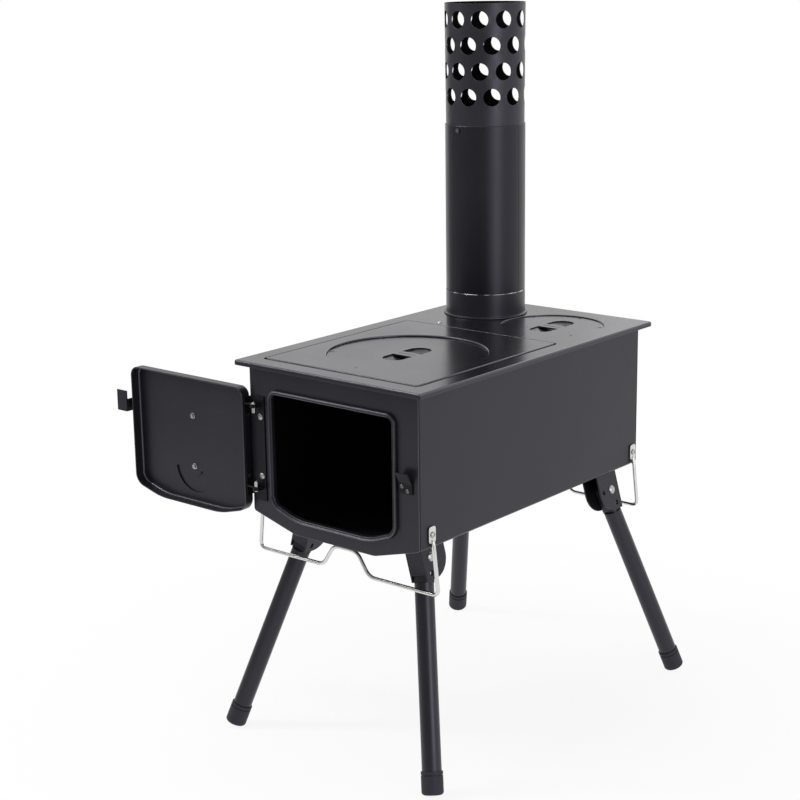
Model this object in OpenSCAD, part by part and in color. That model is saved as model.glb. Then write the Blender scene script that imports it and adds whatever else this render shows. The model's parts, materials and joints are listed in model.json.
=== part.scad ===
// Portable wood stove for a tent: folded steel firebox on four folding legs,
// side-hung door with latch and air damper, removable cooktop with lids,
// and a flue pipe with a perforated spark arrestor.
// Millimetres. X is to the right seen from the door, Y runs to the back, Z is up.
// The origin lies on the floor, on the middle line, under the front plate.

/* [Firebox] */
// Outside width of the firebox
body_w = 260; // [250:1:290]
// Outside length of the firebox, front plate to back plate
body_l = 452; // [440:1:520]
// Height of the firebox from its underside to the top sheet
body_h = 204.5; // [195:0.5:230]
// Rise of the sloped lower sides
slope_rise = 18.7; // [16:0.1:24]
// Width of each sloped lower side
slope_w = 68; // [66:0.5:76]
// Thickness of the folded sheet
sheet_t = 1.5; // [1:0.1:2]

/* [Top] */
// Thickness of the top sheet
top_t = 2.5; // [2:0.1:4]
// Overhang of the top on every side
top_overhang = 12.6; // [8:0.1:16]
// Height of the turned-down rim
rim_h = 6.3; // [5:0.1:10]
// Distance of the cooktop's sides from the outer faces of the walls
cooktop_side = 12; // [11:0.5:16]
// Distance of the cooktop's front edge behind the front plate
cooktop_y = 13.5; // [12:0.5:18]
// Length of the top behind the cooktop, for the flue and the small lid
rear_l = 168.5; // [160:0.5:180]
// Radius of the cooktop's corners
cooktop_corner = 6; // [4:0.5:16]
// How far the cooktop and its lid stand above the top sheet
cooktop_proud = 0.7; // [0.3:0.1:2]
// Radius of the large lid
large_lid_r = 97; // [90:0.5:99]
// Radius of the small lid
small_lid_r = 66; // [60:0.5:66.5]
// Play round a plate or lid in its opening
plate_gap = 0.5; // [0.3:0.05:1]
// Width of the seat under a plate or lid
seat_w = 6; // [5:0.5:8]
// Thickness of the seats
seat_t = 2; // [1.5:0.1:3]
// Width of a lid's finger grip
grip_w = 30; // [26:1:34]
// Length of a lid's finger grip
grip_l = 76; // [70:1:82]
// Width of the bar across a finger grip
grip_bar = 17; // [12:1:20]
// Depth of the dish under a finger grip
grip_depth = 9; // [7:0.5:12]

/* [Flue] */
// Outside radius of the flue pipe
pipe_r = 52.2; // [50:0.1:53]
// Height of the flue pipe above its collar
pipe_h = 217.7; // [180:0.1:260]
// Thickness of the pipe wall
pipe_t = 0.9; // [0.8:0.1:1.2]
// Height of the collar above the top sheet
collar_h = 32.6; // [28:0.1:45]
// Thickness of the collar wall
collar_t = 1.2; // [1:0.1:2]
// Length of the pipe's reduced lower end
neck_l = 27; // [20:1:30]
// Height of the spark arrestor above the pipe
arrestor_h = 153.1; // [140:0.1:180]
// Radius of the arrestor's holes
hole_r = 11; // [9:0.1:11.5]
// Number of holes in each row of the arrestor
holes_per_row = 10; // [8:1:10]
// Height between two rows of holes
row_pitch = 32.2; // [30:0.1:34]

/* [Door] */
// Distance of the door's hinged edge from the outer face of the wall
door_side = 30; // [29:0.1:32]
// Distance of the door's free edge from the outer face of the wall
latch_side = 33; // [30:0.1:34]
// Distance of the door's upper edge below the top sheet
door_drop = 31.8; // [28:0.1:36]
// Depth of the door's turned edge
door_d = 14.2; // [12:0.1:18]
// Height of the door's lower edge above the firebox underside
door_rise = 7.7; // [6:0.1:12]
// Distance of the hinge pins in front of the front plate
hinge_out = 8; // [7:0.1:9]
// Distance of the hinge pins from the outer face of the wall
hinge_in = 13.6; // [13:0.1:14.5]
// Radius of the hinge pins
hinge_pin_r = 2.5; // [2:0.1:3]
// Radial play of every pin and bolt that something turns on
pin_play = 0.07; // [0.04:0.01:0.1]
// Radius of the air damper
damper_r = 38; // [34:0.5:42]
// Distance of the latch lever's tip from the outer face of the wall
latch_in = 8; // [6:0.5:10]

/* [Legs] */
// Length of a leg from its bolt to the end of its foot
leg_l = 272; // [262:1:290]
// Angle by which an open front leg leans forward
front_lean = 15.57; // [14:0.01:17]
// Radius of the leg tubes
tube_r = 11.5; // [10:0.1:11.6]
// Thickness of the tube wall
tube_t = 1.2; // [1:0.1:1.5]
// Radius of the rubber feet
foot_r = 12.9; // [12.5:0.1:13.4]
// Length of the rubber feet
foot_l = 27; // [22:1:32]
// Distance of the front leg bolts behind the front plate
front_leg_y = 55.2; // [50:0.2:70]
// Distance of the rear leg bolts in front of the back plate
rear_leg_y = 52; // [48:0.2:70]
// Radius of the leg bolts
bolt_r = 3; // [2.5:0.1:3.5]
// Gap between the cheeks of a leg bracket
cheek_gap = 21; // [20:0.1:22]

/* [Bails] */
// Radius of the bail wire
wire_r = 2.4; // [2:0.1:2.6]
// Distance of the front bail's rivets behind the front plate
front_bail_y = 20; // [18:0.5:22]
// Distance of the rear bail's rivets in front of the back plate
rear_bail_y = 11; // [10:0.5:14]
// Drop of the bails from their rivets to their bars
bail_drop = 72; // [68:0.5:74]

/* [Hidden] */
// Firebox
slope_angle = atan(slope_rise / slope_w);
foot_rise = 3.3;
row_shift = [-11.5, 13];
bolt_drop = [17.5, 24];
bolt_over_floor = slope_rise / 2 + row_shift[0] * sin(slope_angle) - bolt_drop[0] * cos(slope_angle);
floor_z = foot_rise + leg_l * cos(slope_angle) * cos(front_lean) - bolt_over_floor;
side_z = floor_z + slope_rise;
wall_top_z = floor_z + body_h;
top_z = wall_top_z + top_t;
half_w = body_w / 2;
floor_half = half_w - slope_w;
corner_r = 3;
paint = [0.2, 0.2, 0.21];
steel = [0.75, 0.76, 0.78];
rubber = [0.12, 0.12, 0.12];

// Fire door opening and the pressed lip round it
lip_out = 5;
lip_w = 6;
lip_roll = 1.5;
lip_half = half_w - 31.6;
lip_top = wall_top_z - 29.3;
lip_floor = floor_z + 16.2;
lip_knee = floor_z + 31.2;
lip_floor_half = floor_half - 5;
lip_r = 13;

// Cooktop and lids
plate_z = wall_top_z;
cooktop_top_z = top_z + cooktop_proud;
cooktop_w = body_w - 2 * cooktop_side;
cooktop_l = body_l - cooktop_y - rear_l;
cooktop_mid_y = cooktop_y + cooktop_l / 2;
seat_out = 2;
lid_front = 26.5;
lid_back = 17;
lid_side = 12;
large_lid_at = [2, cooktop_y + lid_front + large_lid_r];
small_lid_at = [half_w - lid_side - small_lid_r, body_l - lid_back - small_lid_r];
lid_notches = 6;
first_notch = 30;
notch_r = 1.6;
dish_t = 1.2;

// Flue
flue_side = 60;
flue_back = 62;
flue_at = [flue_side - half_w, body_l - flue_back];
collar_r = pipe_r + 0.2;
collar_in = collar_r - collar_t;
collar_fit = 0.05;
collar_top_z = top_z + collar_h;
bead_w = 3;
bead_h = 2.5;
neck_r = collar_in - 0.4;
step_h = 2;
pipe_top_z = collar_top_z + pipe_h;
arrestor_r = pipe_r - 0.2;
arrestor_low_r = pipe_r - pipe_t - 0.5;
arrestor_sunk = 26;
arrestor_top_z = pipe_top_z + arrestor_h;
top_row_drop = 20.6;
rows = 4;
hole_step = 35.2;
row_turns = [52.7, 35.1];
hole_reach = 6;
seam_angle = 6;
seam_w = 6;
arrestor_screw_angle = -95;
arrestor_screw_z = pipe_top_z - 6;
small_screw_r = 1.5;
top_screw_at = [-75, cooktop_y + cooktop_l + 13.5];

// Door, worked out as it stands when shut, and turned open about its pins
door_open = 180;
door_w = body_w - door_side - latch_side;
door_left = door_side - half_w;
door_mid_x = door_left + door_w / 2;
door_floor = floor_z + door_rise;
door_top = wall_top_z - door_drop;
door_knee = door_floor + 12.3;
door_floor_half = door_w / 2 - 45;
door_edge_y = -(lip_out + 0.6);
door_face_y = door_edge_y - door_d;
door_corner = 12;
latch_z = door_top - 52.5;
latch_t = 3;
latch_w = 16;
latch_gap = 0.4;
latch_l = half_w - latch_in;
latch_web_x = half_w - 25.5;
latch_web_t = 2;
tip_y = -5;
tip_t = 2;
tip_low = 8;
tip_h = 27;
damper_z = door_floor + 47.1;
damper_t = 1.5;
damper_gap = 0.3;
tab_turn = 235;
tab_in = 3.5;
grip_tab_w = 14;
grip_tab_out = 11;
air_r = 33.5;
air_in = 12;
air_from = -160;
air_to = -6;
door_screw_r = 2.5;
nut_r = 4.5;
nut_h = 3;

// Door hinge
hinge_x = half_w - hinge_in;
pin_at = [-hinge_x, -hinge_out];
leaf_t = 1.8;
ear_t = 2;
ear_gap = 0.2;
knuckle_r = 4;
upper_ear_z = door_top - 21.5;
lower_ear_z = door_floor + 40.5;
bracket_low = door_floor + 26.5;
bracket_high = door_top - 8.5;
bracket_t = 1.5;
hinge_plate_w = 16.5;
hinge_plate_x = -hinge_x - 6.1;
screw_zs = [door_floor + 57.5, door_top - 34];
hinge_screw_x = 4.2 - hinge_x;
leaf_rivet_zs = [door_floor + 55.5, door_top - 33.5];
leaf_low = door_floor + 31.5;
leaf_high = door_top - 11.5;

// Keeper of the latch
keeper_x = half_w - 27;
keeper_w = 18;
keeper_low = latch_z - 35;
keeper_bend = latch_z - 22;
keeper_top = latch_z - 9;
keeper_t = 2;
keeper_out = 9;

// Legs: front brackets sit nearer to the middle than the rear ones,
// so that the folded legs lie side by side under the slopes
slope_mid = [half_w - slope_w / 2, floor_z + slope_rise / 2];
row_y = [front_leg_y, body_l - rear_leg_y];
cheek_t = 2;
bracket_half = cheek_gap / 2 + cheek_t;
web_out = 15.5;
web_drop = 18.5;
cheek_r = 26.5;
fork_t = cheek_gap - 2;
fork_w = 15;
fork_l = 32;
plug_l = 22;
flange_t = 2;
lock_s = 19;
lock_r = 2.6;
lock_hole_r = 3.2;
foot_floor_t = 3;
foot_round = 4;
bolt_head_r = 6;
bolt_head_h = 3;

// Wire bails
bail_z = floor_z + 35.2;
bail_half = half_w + 10;
bail_top_half = half_w + 3.2;
bail_inner = 36;
bail_peak_half = 18;
bail_peak_drop = 44.5;
bail_ys = [front_bail_y, body_l - rear_bail_y];
tab_w = 13;
tab_h = 20;
tab_t = 2;
tab_gap = 0.4;
bail_rivet_r = 2.5;
rivet_head_h = 1.8;

$fn = 48;

// ---- shared shapes ----

// Six-sided outline with sloped lower corners, its walls moved in by inset
module sloped_outline(half, high, knee, low_half, low, inset = 0) {
    slope = atan((knee - low) / (half - low_half));
    x1 = half - inset;
    x0 = low_half - inset * tan(slope / 2);
    z1 = knee + inset * (1 - sin(slope)) / cos(slope);
    z0 = low + inset;
    polygon([[-x1, high - inset], [-x1, z1], [-x0, z0], [x0, z0], [x1, z1], [x1, high - inset]]);
}

// Rounds the outer corners of a flat shape
module rounded(r) {
    offset(r = r) offset(delta = -r) children();
}

// Raises a shape drawn in X and Z into a slab from y0 to y0 + t
module upright(y0, t) {
    translate([0, y0 + t, 0]) rotate([90, 0, 0]) linear_extrude(t) children();
}

// Rectangle with round corners, centred
module round_rectangle(w, l, r) {
    square([w - 2 * r, l], center = true);
    square([w, l - 2 * r], center = true);
    for (x = [-1, 1], y = [-1, 1]) translate([x * (w / 2 - r), y * (l / 2 - r)]) circle(r);
}

// Slot with round ends along Y, centred
module long_slot(w, l) {
    square([w, l - w], center = true);
    for (y = [-1, 1]) translate([0, y * (l - w) / 2]) circle(w / 2);
}

// Tube standing on the XY plane
module pipe(r_out, r_in, h) {
    difference() {
        cylinder(r = r_out, h = h, $fn = 96);
        translate([0, 0, -1]) cylinder(r = r_in, h = h + 2, $fn = 96);
    }
}

// Rod along Y from y0, with its axis at x and z
module rod_y(x, y0, z, r, l, sides = 48) {
    translate([x, y0, z]) rotate([-90, 0, 0]) cylinder(r = r, h = l, $fn = sides);
}

// Rod along X from x0, with its axis at y and z
module rod_x(x0, y, z, r, l, sides = 48) {
    translate([x0, y, z]) rotate([0, 90, 0]) cylinder(r = r, h = l, $fn = sides);
}

// ---- firebox ----

module body_outline(inset = 0) {
    sloped_outline(half_w, wall_top_z + inset, side_z, floor_half, floor_z, inset);
}

module firebox_shell() {
    color(paint) difference() {
        upright(sheet_t, body_l - 2 * sheet_t) difference() {
            body_outline();
            translate([0, 0.01]) body_outline(sheet_t);
        }
        for (y = bail_ys, side = [-1, 1])
            rod_x(side * half_w - 5, y, bail_z, bail_rivet_r, 10);
    }
}

module lip_outline(inset = 0) {
    rounded(lip_r - inset) sloped_outline(lip_half, lip_top, lip_knee, lip_floor_half, lip_floor, inset);
}

module front_plate() {
    color(paint) {
        difference() {
            union() {
                upright(0, sheet_t) body_outline();
                upright(-lip_out, lip_out) lip_outline(lip_roll);
                upright(-lip_out + 2, lip_out - 2) lip_outline();
            }
            upright(-lip_out - 1, lip_out + sheet_t + 2) lip_outline(lip_w);
            for (z = screw_zs) rod_y(hinge_screw_x, -1, z, small_screw_r, sheet_t + 2);
            for (p = keeper_rivet_places()) rod_y(p[0], -1, p[1], small_screw_r, sheet_t + 2);
        }
    }
}

module back_plate() {
    color(paint) upright(body_l - sheet_t, sheet_t) body_outline();
}

// ---- top, cooktop and lids ----

module top_frame() {
    top_w = body_w + 2 * top_overhang;
    top_l = body_l + 2 * top_overhang;
    opening_w = cooktop_w + 2 * plate_gap;
    opening_l = cooktop_l + 2 * plate_gap;
    color(paint) {
        difference() {
            translate([0, body_l / 2, top_z - rim_h]) linear_extrude(rim_h)
                round_rectangle(top_w, top_l, corner_r);
            translate([0, body_l / 2, top_z - rim_h - 1]) linear_extrude(rim_h - top_t + 1)
                round_rectangle(top_w - 2 * sheet_t, top_l - 2 * sheet_t, corner_r - sheet_t);
            translate([0, cooktop_mid_y, plate_z - 1]) linear_extrude(top_t + 2)
                round_rectangle(opening_w, opening_l, cooktop_corner);
            translate([small_lid_at[0], small_lid_at[1], plate_z - 1])
                cylinder(r = small_lid_r + plate_gap, h = top_t + 2, $fn = 96);
            translate([flue_at[0], flue_at[1], plate_z - 1])
                cylinder(r = collar_r + collar_fit, h = top_t + 2, $fn = 96);
            translate([top_screw_at[0], top_screw_at[1], plate_z - 1])
                cylinder(r = small_screw_r, h = top_t + 2);
        }
        cooktop_seat(opening_w, opening_l);
        translate([small_lid_at[0], small_lid_at[1], plate_z - seat_t])
            pipe(small_lid_r + plate_gap + seat_out, small_lid_r - seat_w, seat_t);
    }
}

module cooktop_seat(opening_w, opening_l) {
    outer = 2 * (seat_out + plate_gap);
    inner = 2 * (seat_w + plate_gap);
    translate([0, cooktop_mid_y, plate_z - seat_t]) linear_extrude(seat_t) difference() {
        round_rectangle(opening_w + outer, opening_l + outer, cooktop_corner);
        round_rectangle(opening_w - inner, opening_l - inner, cooktop_corner);
    }
}

module top_screw() {
    color(steel) translate([top_screw_at[0], top_screw_at[1], 0]) {
        translate([0, 0, plate_z - 2]) cylinder(r = small_screw_r, h = top_t + 3);
        translate([0, 0, top_z]) cylinder(r1 = 3, r2 = 2, h = 1.4);
    }
}

module cooktop_plate() {
    color(paint) {
        difference() {
            translate([0, cooktop_mid_y, plate_z]) linear_extrude(cooktop_top_z - plate_z)
                round_rectangle(cooktop_w, cooktop_l, cooktop_corner - plate_gap);
            translate([large_lid_at[0], large_lid_at[1], plate_z - 1])
                cylinder(r = large_lid_r + plate_gap, h = 10, $fn = 96);
        }
        translate([large_lid_at[0], large_lid_at[1], plate_z - seat_t])
            pipe(large_lid_r + plate_gap + seat_out, large_lid_r - seat_w, seat_t);
    }
}

// Lid with a dished finger grip under a bar, and small notches round its edge
module lid(r, thick) {
    difference() {
        union() {
            cylinder(r = r, h = thick, $fn = 96);
            translate([0, 0, thick - grip_depth]) linear_extrude(grip_depth - 0.1)
                long_slot(grip_w + 2 * dish_t, grip_l + 2 * dish_t);
        }
        translate([0, 0, thick - grip_depth + dish_t]) linear_extrude(grip_depth + 1)
            long_slot(grip_w, grip_l);
        for (i = [0 : lid_notches - 1])
            rotate([0, 0, first_notch + i * 360 / lid_notches]) translate([r, 0, -1])
                cylinder(r = notch_r, h = thick + 2);
    }
    translate([-grip_w / 2 - 0.5, -grip_bar / 2, 0]) cube([grip_w + 1, grip_bar, thick]);
}

module large_lid() {
    color(paint) translate([large_lid_at[0], large_lid_at[1], plate_z])
        lid(large_lid_r, cooktop_top_z - plate_z);
}

module small_lid() {
    color(paint) translate([small_lid_at[0], small_lid_at[1], plate_z]) lid(small_lid_r, top_t);
}

// ---- flue ----

module at_flue() {
    translate([flue_at[0], flue_at[1], 0]) children();
}

module flue_collar() {
    color(paint) at_flue() {
        translate([0, 0, plate_z - seat_t]) pipe(collar_r, collar_in, collar_top_z - plate_z + seat_t);
        translate([0, 0, top_z]) pipe(collar_r + bead_w, collar_in + 0.5, bead_h);
    }
}

// Pipe wall as a profile turned about the flue axis: reduced neck, step and shaft
module flue_pipe() {
    neck_z = collar_top_z - neck_l;
    in_r = pipe_r - pipe_t;
    color(paint) at_flue() difference() {
        union() {
            rotate_extrude($fn = 96) polygon([
                [neck_r - pipe_t, neck_z], [neck_r, neck_z], [neck_r, collar_top_z], [pipe_r, collar_top_z],
                [pipe_r, pipe_top_z], [in_r, pipe_top_z], [in_r, collar_top_z + step_h],
                [neck_r - pipe_t, collar_top_z + step_h]
            ]);
            rotate([0, 0, seam_angle]) translate([pipe_r - pipe_t / 2, -seam_w / 2, collar_top_z + step_h])
                cube([pipe_t, seam_w, pipe_h - step_h]);
        }
        rotate([0, 0, arrestor_screw_angle])
            rod_x(pipe_r - hole_reach, 0, arrestor_screw_z, small_screw_r, 2 * hole_reach);
    }
}

// Tube with staggered holes, drawn in a little towards its lower end
module spark_arrestor() {
    low_z = pipe_top_z - arrestor_sunk;
    high = arrestor_top_z - low_z;
    flare = (arrestor_r - arrestor_low_r) / high;
    color(paint) at_flue() difference() {
        translate([0, 0, low_z]) cylinder(r1 = arrestor_low_r, r2 = arrestor_r, h = high, $fn = 96);
        translate([0, 0, low_z - 1]) cylinder(
            r1 = arrestor_low_r - pipe_t - flare, r2 = arrestor_r - pipe_t + flare, h = high + 2, $fn = 96);
        for (row = [0 : rows - 1], i = [0 : holes_per_row - 1])
            rotate([0, 0, row_turns[row % 2] + i * hole_step]) rod_x(
                arrestor_low_r - hole_reach, 0, arrestor_top_z - top_row_drop - row * row_pitch, hole_r,
                2 * hole_reach);
        rotate([0, 0, arrestor_screw_angle])
            rod_x(arrestor_low_r - hole_reach, 0, arrestor_screw_z, small_screw_r, 2 * hole_reach);
    }
}

module arrestor_screw() {
    color(steel) at_flue() rotate([0, 0, arrestor_screw_angle]) {
        rod_x(arrestor_low_r - 3, 0, arrestor_screw_z, small_screw_r, pipe_r - arrestor_low_r + 4);
        rod_x(pipe_r, 0, arrestor_screw_z, 3, 1.6);
    }
}

// ---- door, drawn shut and then swung open ----

module at_open_door() {
    translate([pin_at[0], pin_at[1], 0]) rotate([0, 0, door_open])
        translate([-pin_at[0], -pin_at[1], 0]) children();
}

module door_outline(inset = 0) {
    translate([door_mid_x, 0]) rounded(door_corner - inset)
        sloped_outline(door_w / 2, door_top, door_knee, door_floor_half, door_floor, inset);
}

// Part of a ring between two angles, drawn in X and Z about the origin
module ring_sector(r_in, r_out, from, to) {
    reach = 2 * r_out;
    middle = (from + to) / 2;
    intersection() {
        difference() {
            circle(r_out);
            circle(r_in);
        }
        polygon([[0, 0], [reach * cos(from), reach * sin(from)], [reach * cos(middle), reach * sin(middle)],
            [reach * cos(to), reach * sin(to)]]);
    }
}

module door_panel() {
    color(paint) at_open_door() difference() {
        upright(door_face_y, door_d) door_outline();
        upright(door_face_y + sheet_t, door_d) door_outline(sheet_t);
        upright(door_face_y - 1, sheet_t + 2) translate([0, damper_z])
            ring_sector(air_in, air_r, air_from, air_to);
        for (z = [latch_z, damper_z]) rod_y(0, door_face_y - 1, z, door_screw_r, sheet_t + 2);
        for (z = leaf_rivet_zs) rod_x(door_left - 1, leaf_rivet_y(), z, small_screw_r, sheet_t + 2);
    }
}

function leaf_rivet_y() = pin_at[1] - 4;

module door_leaf() {
    color(paint) at_open_door() difference() {
        union() {
            translate([door_left - leaf_t, door_face_y, leaf_low])
                cube([leaf_t, pin_at[1] + 1 - door_face_y, leaf_high - leaf_low]);
            for (z = [lower_ear_z, upper_ear_z]) translate([0, 0, z + ear_t + ear_gap]) {
                translate([pin_at[0], pin_at[1], 0]) cylinder(r = knuckle_r, h = ear_t);
                translate([pin_at[0], pin_at[1] - knuckle_r, 0])
                    cube([door_left - leaf_t - pin_at[0] + 0.5, knuckle_r + 1, ear_t]);
            }
        }
        for (z = [lower_ear_z, upper_ear_z]) translate([pin_at[0], pin_at[1], z])
            cylinder(r = hinge_pin_r + pin_play, h = 3 * ear_t);
        for (z = leaf_rivet_zs) rod_x(door_left - leaf_t - 1, leaf_rivet_y(), z, small_screw_r, leaf_t + 2);
    }
}

module leaf_rivets() {
    color(steel) at_open_door() for (z = leaf_rivet_zs) {
        rod_x(door_left - leaf_t, leaf_rivet_y(), z, small_screw_r, leaf_t + sheet_t);
        rod_x(door_left - leaf_t - 1.2, leaf_rivet_y(), z, 2.6, 1.2);
        rod_x(door_left + sheet_t, leaf_rivet_y(), z, 2.6, 1.2);
    }
}

// Screw through the door face with its head outside and its nut inside
module door_screw(z, carried) {
    rod_y(0, door_face_y - carried, z, door_screw_r, carried + sheet_t + nut_h);
    rod_y(0, door_face_y - carried - latch_gap - 2.2, z, nut_r, 2.2);
    rod_y(0, door_face_y - carried - latch_gap - 1, z, door_screw_r, 3);
    rod_y(0, door_face_y + sheet_t, z, nut_r, nut_h - 0.6, 6);
}

module latch_screw() {
    color(steel) at_open_door() door_screw(latch_z, latch_gap + latch_t);
}

module damper_screw() {
    color(steel) at_open_door() door_screw(damper_z, damper_gap + damper_t);
}

// Lever across the door face, turned back past the door's edge to the catch tip
module latch_lever() {
    back_y = door_face_y - latch_gap;
    web_low = latch_z - tip_low;
    color(paint) at_open_door() difference() {
        union() {
            rod_y(0, back_y - latch_t, latch_z, latch_w / 2, latch_t);
            translate([0, back_y - latch_t, latch_z - latch_w / 2])
                cube([latch_web_x + latch_web_t, latch_t, latch_w]);
            translate([latch_web_x, back_y - latch_t, web_low])
                cube([latch_web_t, tip_y + tip_t - back_y + latch_t, latch_w]);
            translate([latch_web_x, tip_y, web_low]) cube([latch_l - latch_web_x, tip_t, tip_h]);
        }
        rod_y(0, back_y - latch_t - 1, latch_z, door_screw_r + pin_play, latch_t + 2);
    }
}

// Round air shutter on the door's outer face, with a window and a finger tab
module damper_disc() {
    back_y = door_face_y - damper_gap;
    color(paint) at_open_door() difference() {
        union() {
            rod_y(0, back_y - damper_t, damper_z, damper_r, damper_t, 96);
            translate([0, 0, damper_z]) rotate([0, tab_turn, 0])
                translate([damper_r - tab_in, back_y - damper_t - grip_tab_out, -grip_tab_w / 2])
                cube([damper_t, grip_tab_out + damper_t / 2, grip_tab_w]);
        }
        upright(back_y - damper_t - 1, damper_t + 2) translate([0, damper_z])
            ring_sector(air_in, air_r, -air_to, -air_from);
        rod_y(0, back_y - damper_t - 1, damper_z, door_screw_r + pin_play, damper_t + 2);
    }
}

// ---- door hinge and keeper on the front plate ----

module hinge_bracket() {
    color(paint) difference() {
        union() {
            translate([hinge_plate_x, -bracket_t, bracket_low])
                cube([hinge_plate_w, bracket_t, bracket_high - bracket_low]);
            for (z = [lower_ear_z, upper_ear_z]) translate([0, 0, z]) {
                translate([pin_at[0], pin_at[1], 0]) cylinder(r = knuckle_r + 0.6, h = ear_t);
                translate([pin_at[0] - knuckle_r - 0.6, pin_at[1], 0])
                    cube([2 * knuckle_r + 1.2, hinge_out - bracket_t + 0.5, ear_t]);
            }
        }
        for (z = [lower_ear_z, upper_ear_z]) translate([pin_at[0], pin_at[1], z - 1])
            cylinder(r = hinge_pin_r, h = ear_t + 2);
        for (z = screw_zs) rod_y(hinge_screw_x, -bracket_t - 1, z, small_screw_r, bracket_t + 2);
    }
}

module hinge_pins() {
    color(steel) for (z = [lower_ear_z, upper_ear_z]) translate([pin_at[0], pin_at[1], z]) {
        translate([0, 0, -4]) cylinder(r = hinge_pin_r, h = 2 * ear_t + ear_gap + 4.4);
        translate([0, 0, -4]) cylinder(r = hinge_pin_r + 0.9, h = 4);
        translate([0, 0, 2 * ear_t + ear_gap + 0.3]) cylinder(r = hinge_pin_r + 1.3, h = 2);
    }
}

module hinge_screws() {
    color(steel) for (z = screw_zs) {
        rod_y(hinge_screw_x, -bracket_t - 1, z, small_screw_r, sheet_t + bracket_t + 3);
        rod_y(hinge_screw_x, -bracket_t - 2, z, 4, 2);
    }
}

function keeper_rivet_places() = [[keeper_x + 3.5, keeper_low + 8], [keeper_x + 11.5, keeper_low + 3.5]];

// Plate riveted to the front, with its upper end bent out as a hook
module latch_keeper() {
    color(paint) difference() {
        union() {
            translate([keeper_x, -keeper_t, keeper_low])
                cube([keeper_w, keeper_t, keeper_bend - keeper_low]);
            translate([keeper_x, 0, 0]) rotate([90, 0, 90]) linear_extrude(keeper_w) polygon([
                [0, keeper_bend - 1], [-keeper_t, keeper_bend - 2], [-keeper_out - keeper_t, keeper_top],
                [-keeper_out, keeper_top], [0, keeper_bend]
            ]);
        }
        for (p = keeper_rivet_places()) rod_y(p[0], -keeper_t - 1, p[1], small_screw_r, keeper_t + 2);
    }
}

module keeper_rivets() {
    color(steel) for (p = keeper_rivet_places()) {
        rod_y(p[0], -keeper_t - 0.5, p[1], small_screw_r, keeper_t + sheet_t + 1.5);
        rod_y(p[0], -keeper_t - 1, p[1], 2.6, 1);
    }
}

// ---- legs ----

// Height of the leg bolt's axis over the floor, for row 0 in front and 1 behind
function bolt_z(row) = slope_mid[1] + row_shift[row] * sin(slope_angle) - bolt_drop[row] * cos(slope_angle);

// Angle by which an open leg leans towards its end of the stove
function lean(row) = acos((bolt_z(row) - foot_rise) / (leg_l * cos(slope_angle)));

// Places a bracket under the slope: its Z points away from the floor, its -Y to the stove's end
module at_bracket(row, side) {
    mirror([side < 0 ? 1 : 0, 0, 0]) translate([slope_mid[0], row_y[row], slope_mid[1]])
        rotate([0, -slope_angle, 0]) translate([row_shift[row], 0, 0])
        mirror([0, row, 0]) children();
}

// Places a leg's parts, which hang down from the bolt at the origin
module at_leg(row, side) {
    at_bracket(row, side) translate([0, 0, -bolt_drop[row]]) rotate([-lean(row), 0, 0]) children();
}

module leg_bracket(row, side) {
    drop = bolt_drop[row];
    color(paint) at_bracket(row, side) difference() {
        union() {
            translate([-bracket_half, -web_out, -cheek_t])
                cube([2 * bracket_half, web_out + cheek_r, cheek_t]);
            translate([-bracket_half, -web_out, -drop - web_drop])
                cube([2 * bracket_half, cheek_t, drop + web_drop]);
            for (x = [-bracket_half, bracket_half - cheek_t]) translate([x, 0, 0]) cheek(drop);
        }
        rod_x(-bracket_half - 1, 0, -drop, bolt_r, 2 * bracket_half + 2);
        lock_holes(row);
    }
}

// Side plate of a bracket, with a round corner about the bolt
module cheek(drop) {
    translate([0, -web_out, -drop - cheek_r]) cube([cheek_t, web_out, drop + cheek_r]);
    translate([0, 0, -drop]) cube([cheek_t, cheek_r, drop]);
    intersection() {
        rod_x(0, 0, -drop, cheek_r, cheek_t, 96);
        translate([0, 0, -drop - cheek_r]) cube([cheek_t, cheek_r, cheek_r + 0.01]);
    }
}

// Lock holes of a bracket: in both cheeks for the open leg, in one for the folded leg
module lock_holes(row) {
    open_y = -lock_s * sin(lean(row));
    open_z = -bolt_drop[row] - lock_s * cos(lean(row));
    folded_x = row == 0 ? -bracket_half - 1 : bracket_half - cheek_t - 1;
    rod_x(-bracket_half - 1, open_y, open_z, lock_hole_r, 2 * bracket_half + 2);
    rod_x(folded_x, lock_s, -bolt_drop[row], lock_hole_r, cheek_t + 2);
}

module leg_fork(row, side) {
    color(paint) at_leg(row, side) difference() {
        union() {
            rod_x(-fork_t / 2, 0, 0, fork_w / 2, fork_t);
            translate([-fork_t / 2, -fork_w / 2, flange_t - fork_l])
                cube([fork_t, fork_w, fork_l - flange_t]);
            translate([0, 0, -fork_l]) cylinder(r = tube_r, h = flange_t);
            translate([0, 0, -fork_l - plug_l]) cylinder(r = tube_r - tube_t, h = plug_l + 0.1);
        }
        rod_x(-fork_t / 2 - 1, 0, 0, bolt_r + pin_play, fork_t + 2);
        rod_x(-fork_t / 2 - 1, 0, -lock_s, lock_r, fork_t + 2);
    }
}

module leg_tube(row, side) {
    color(paint) at_leg(row, side) translate([0, 0, foot_floor_t - leg_l])
        pipe(tube_r, tube_r - tube_t, leg_l - foot_floor_t - fork_l);
}

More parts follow.
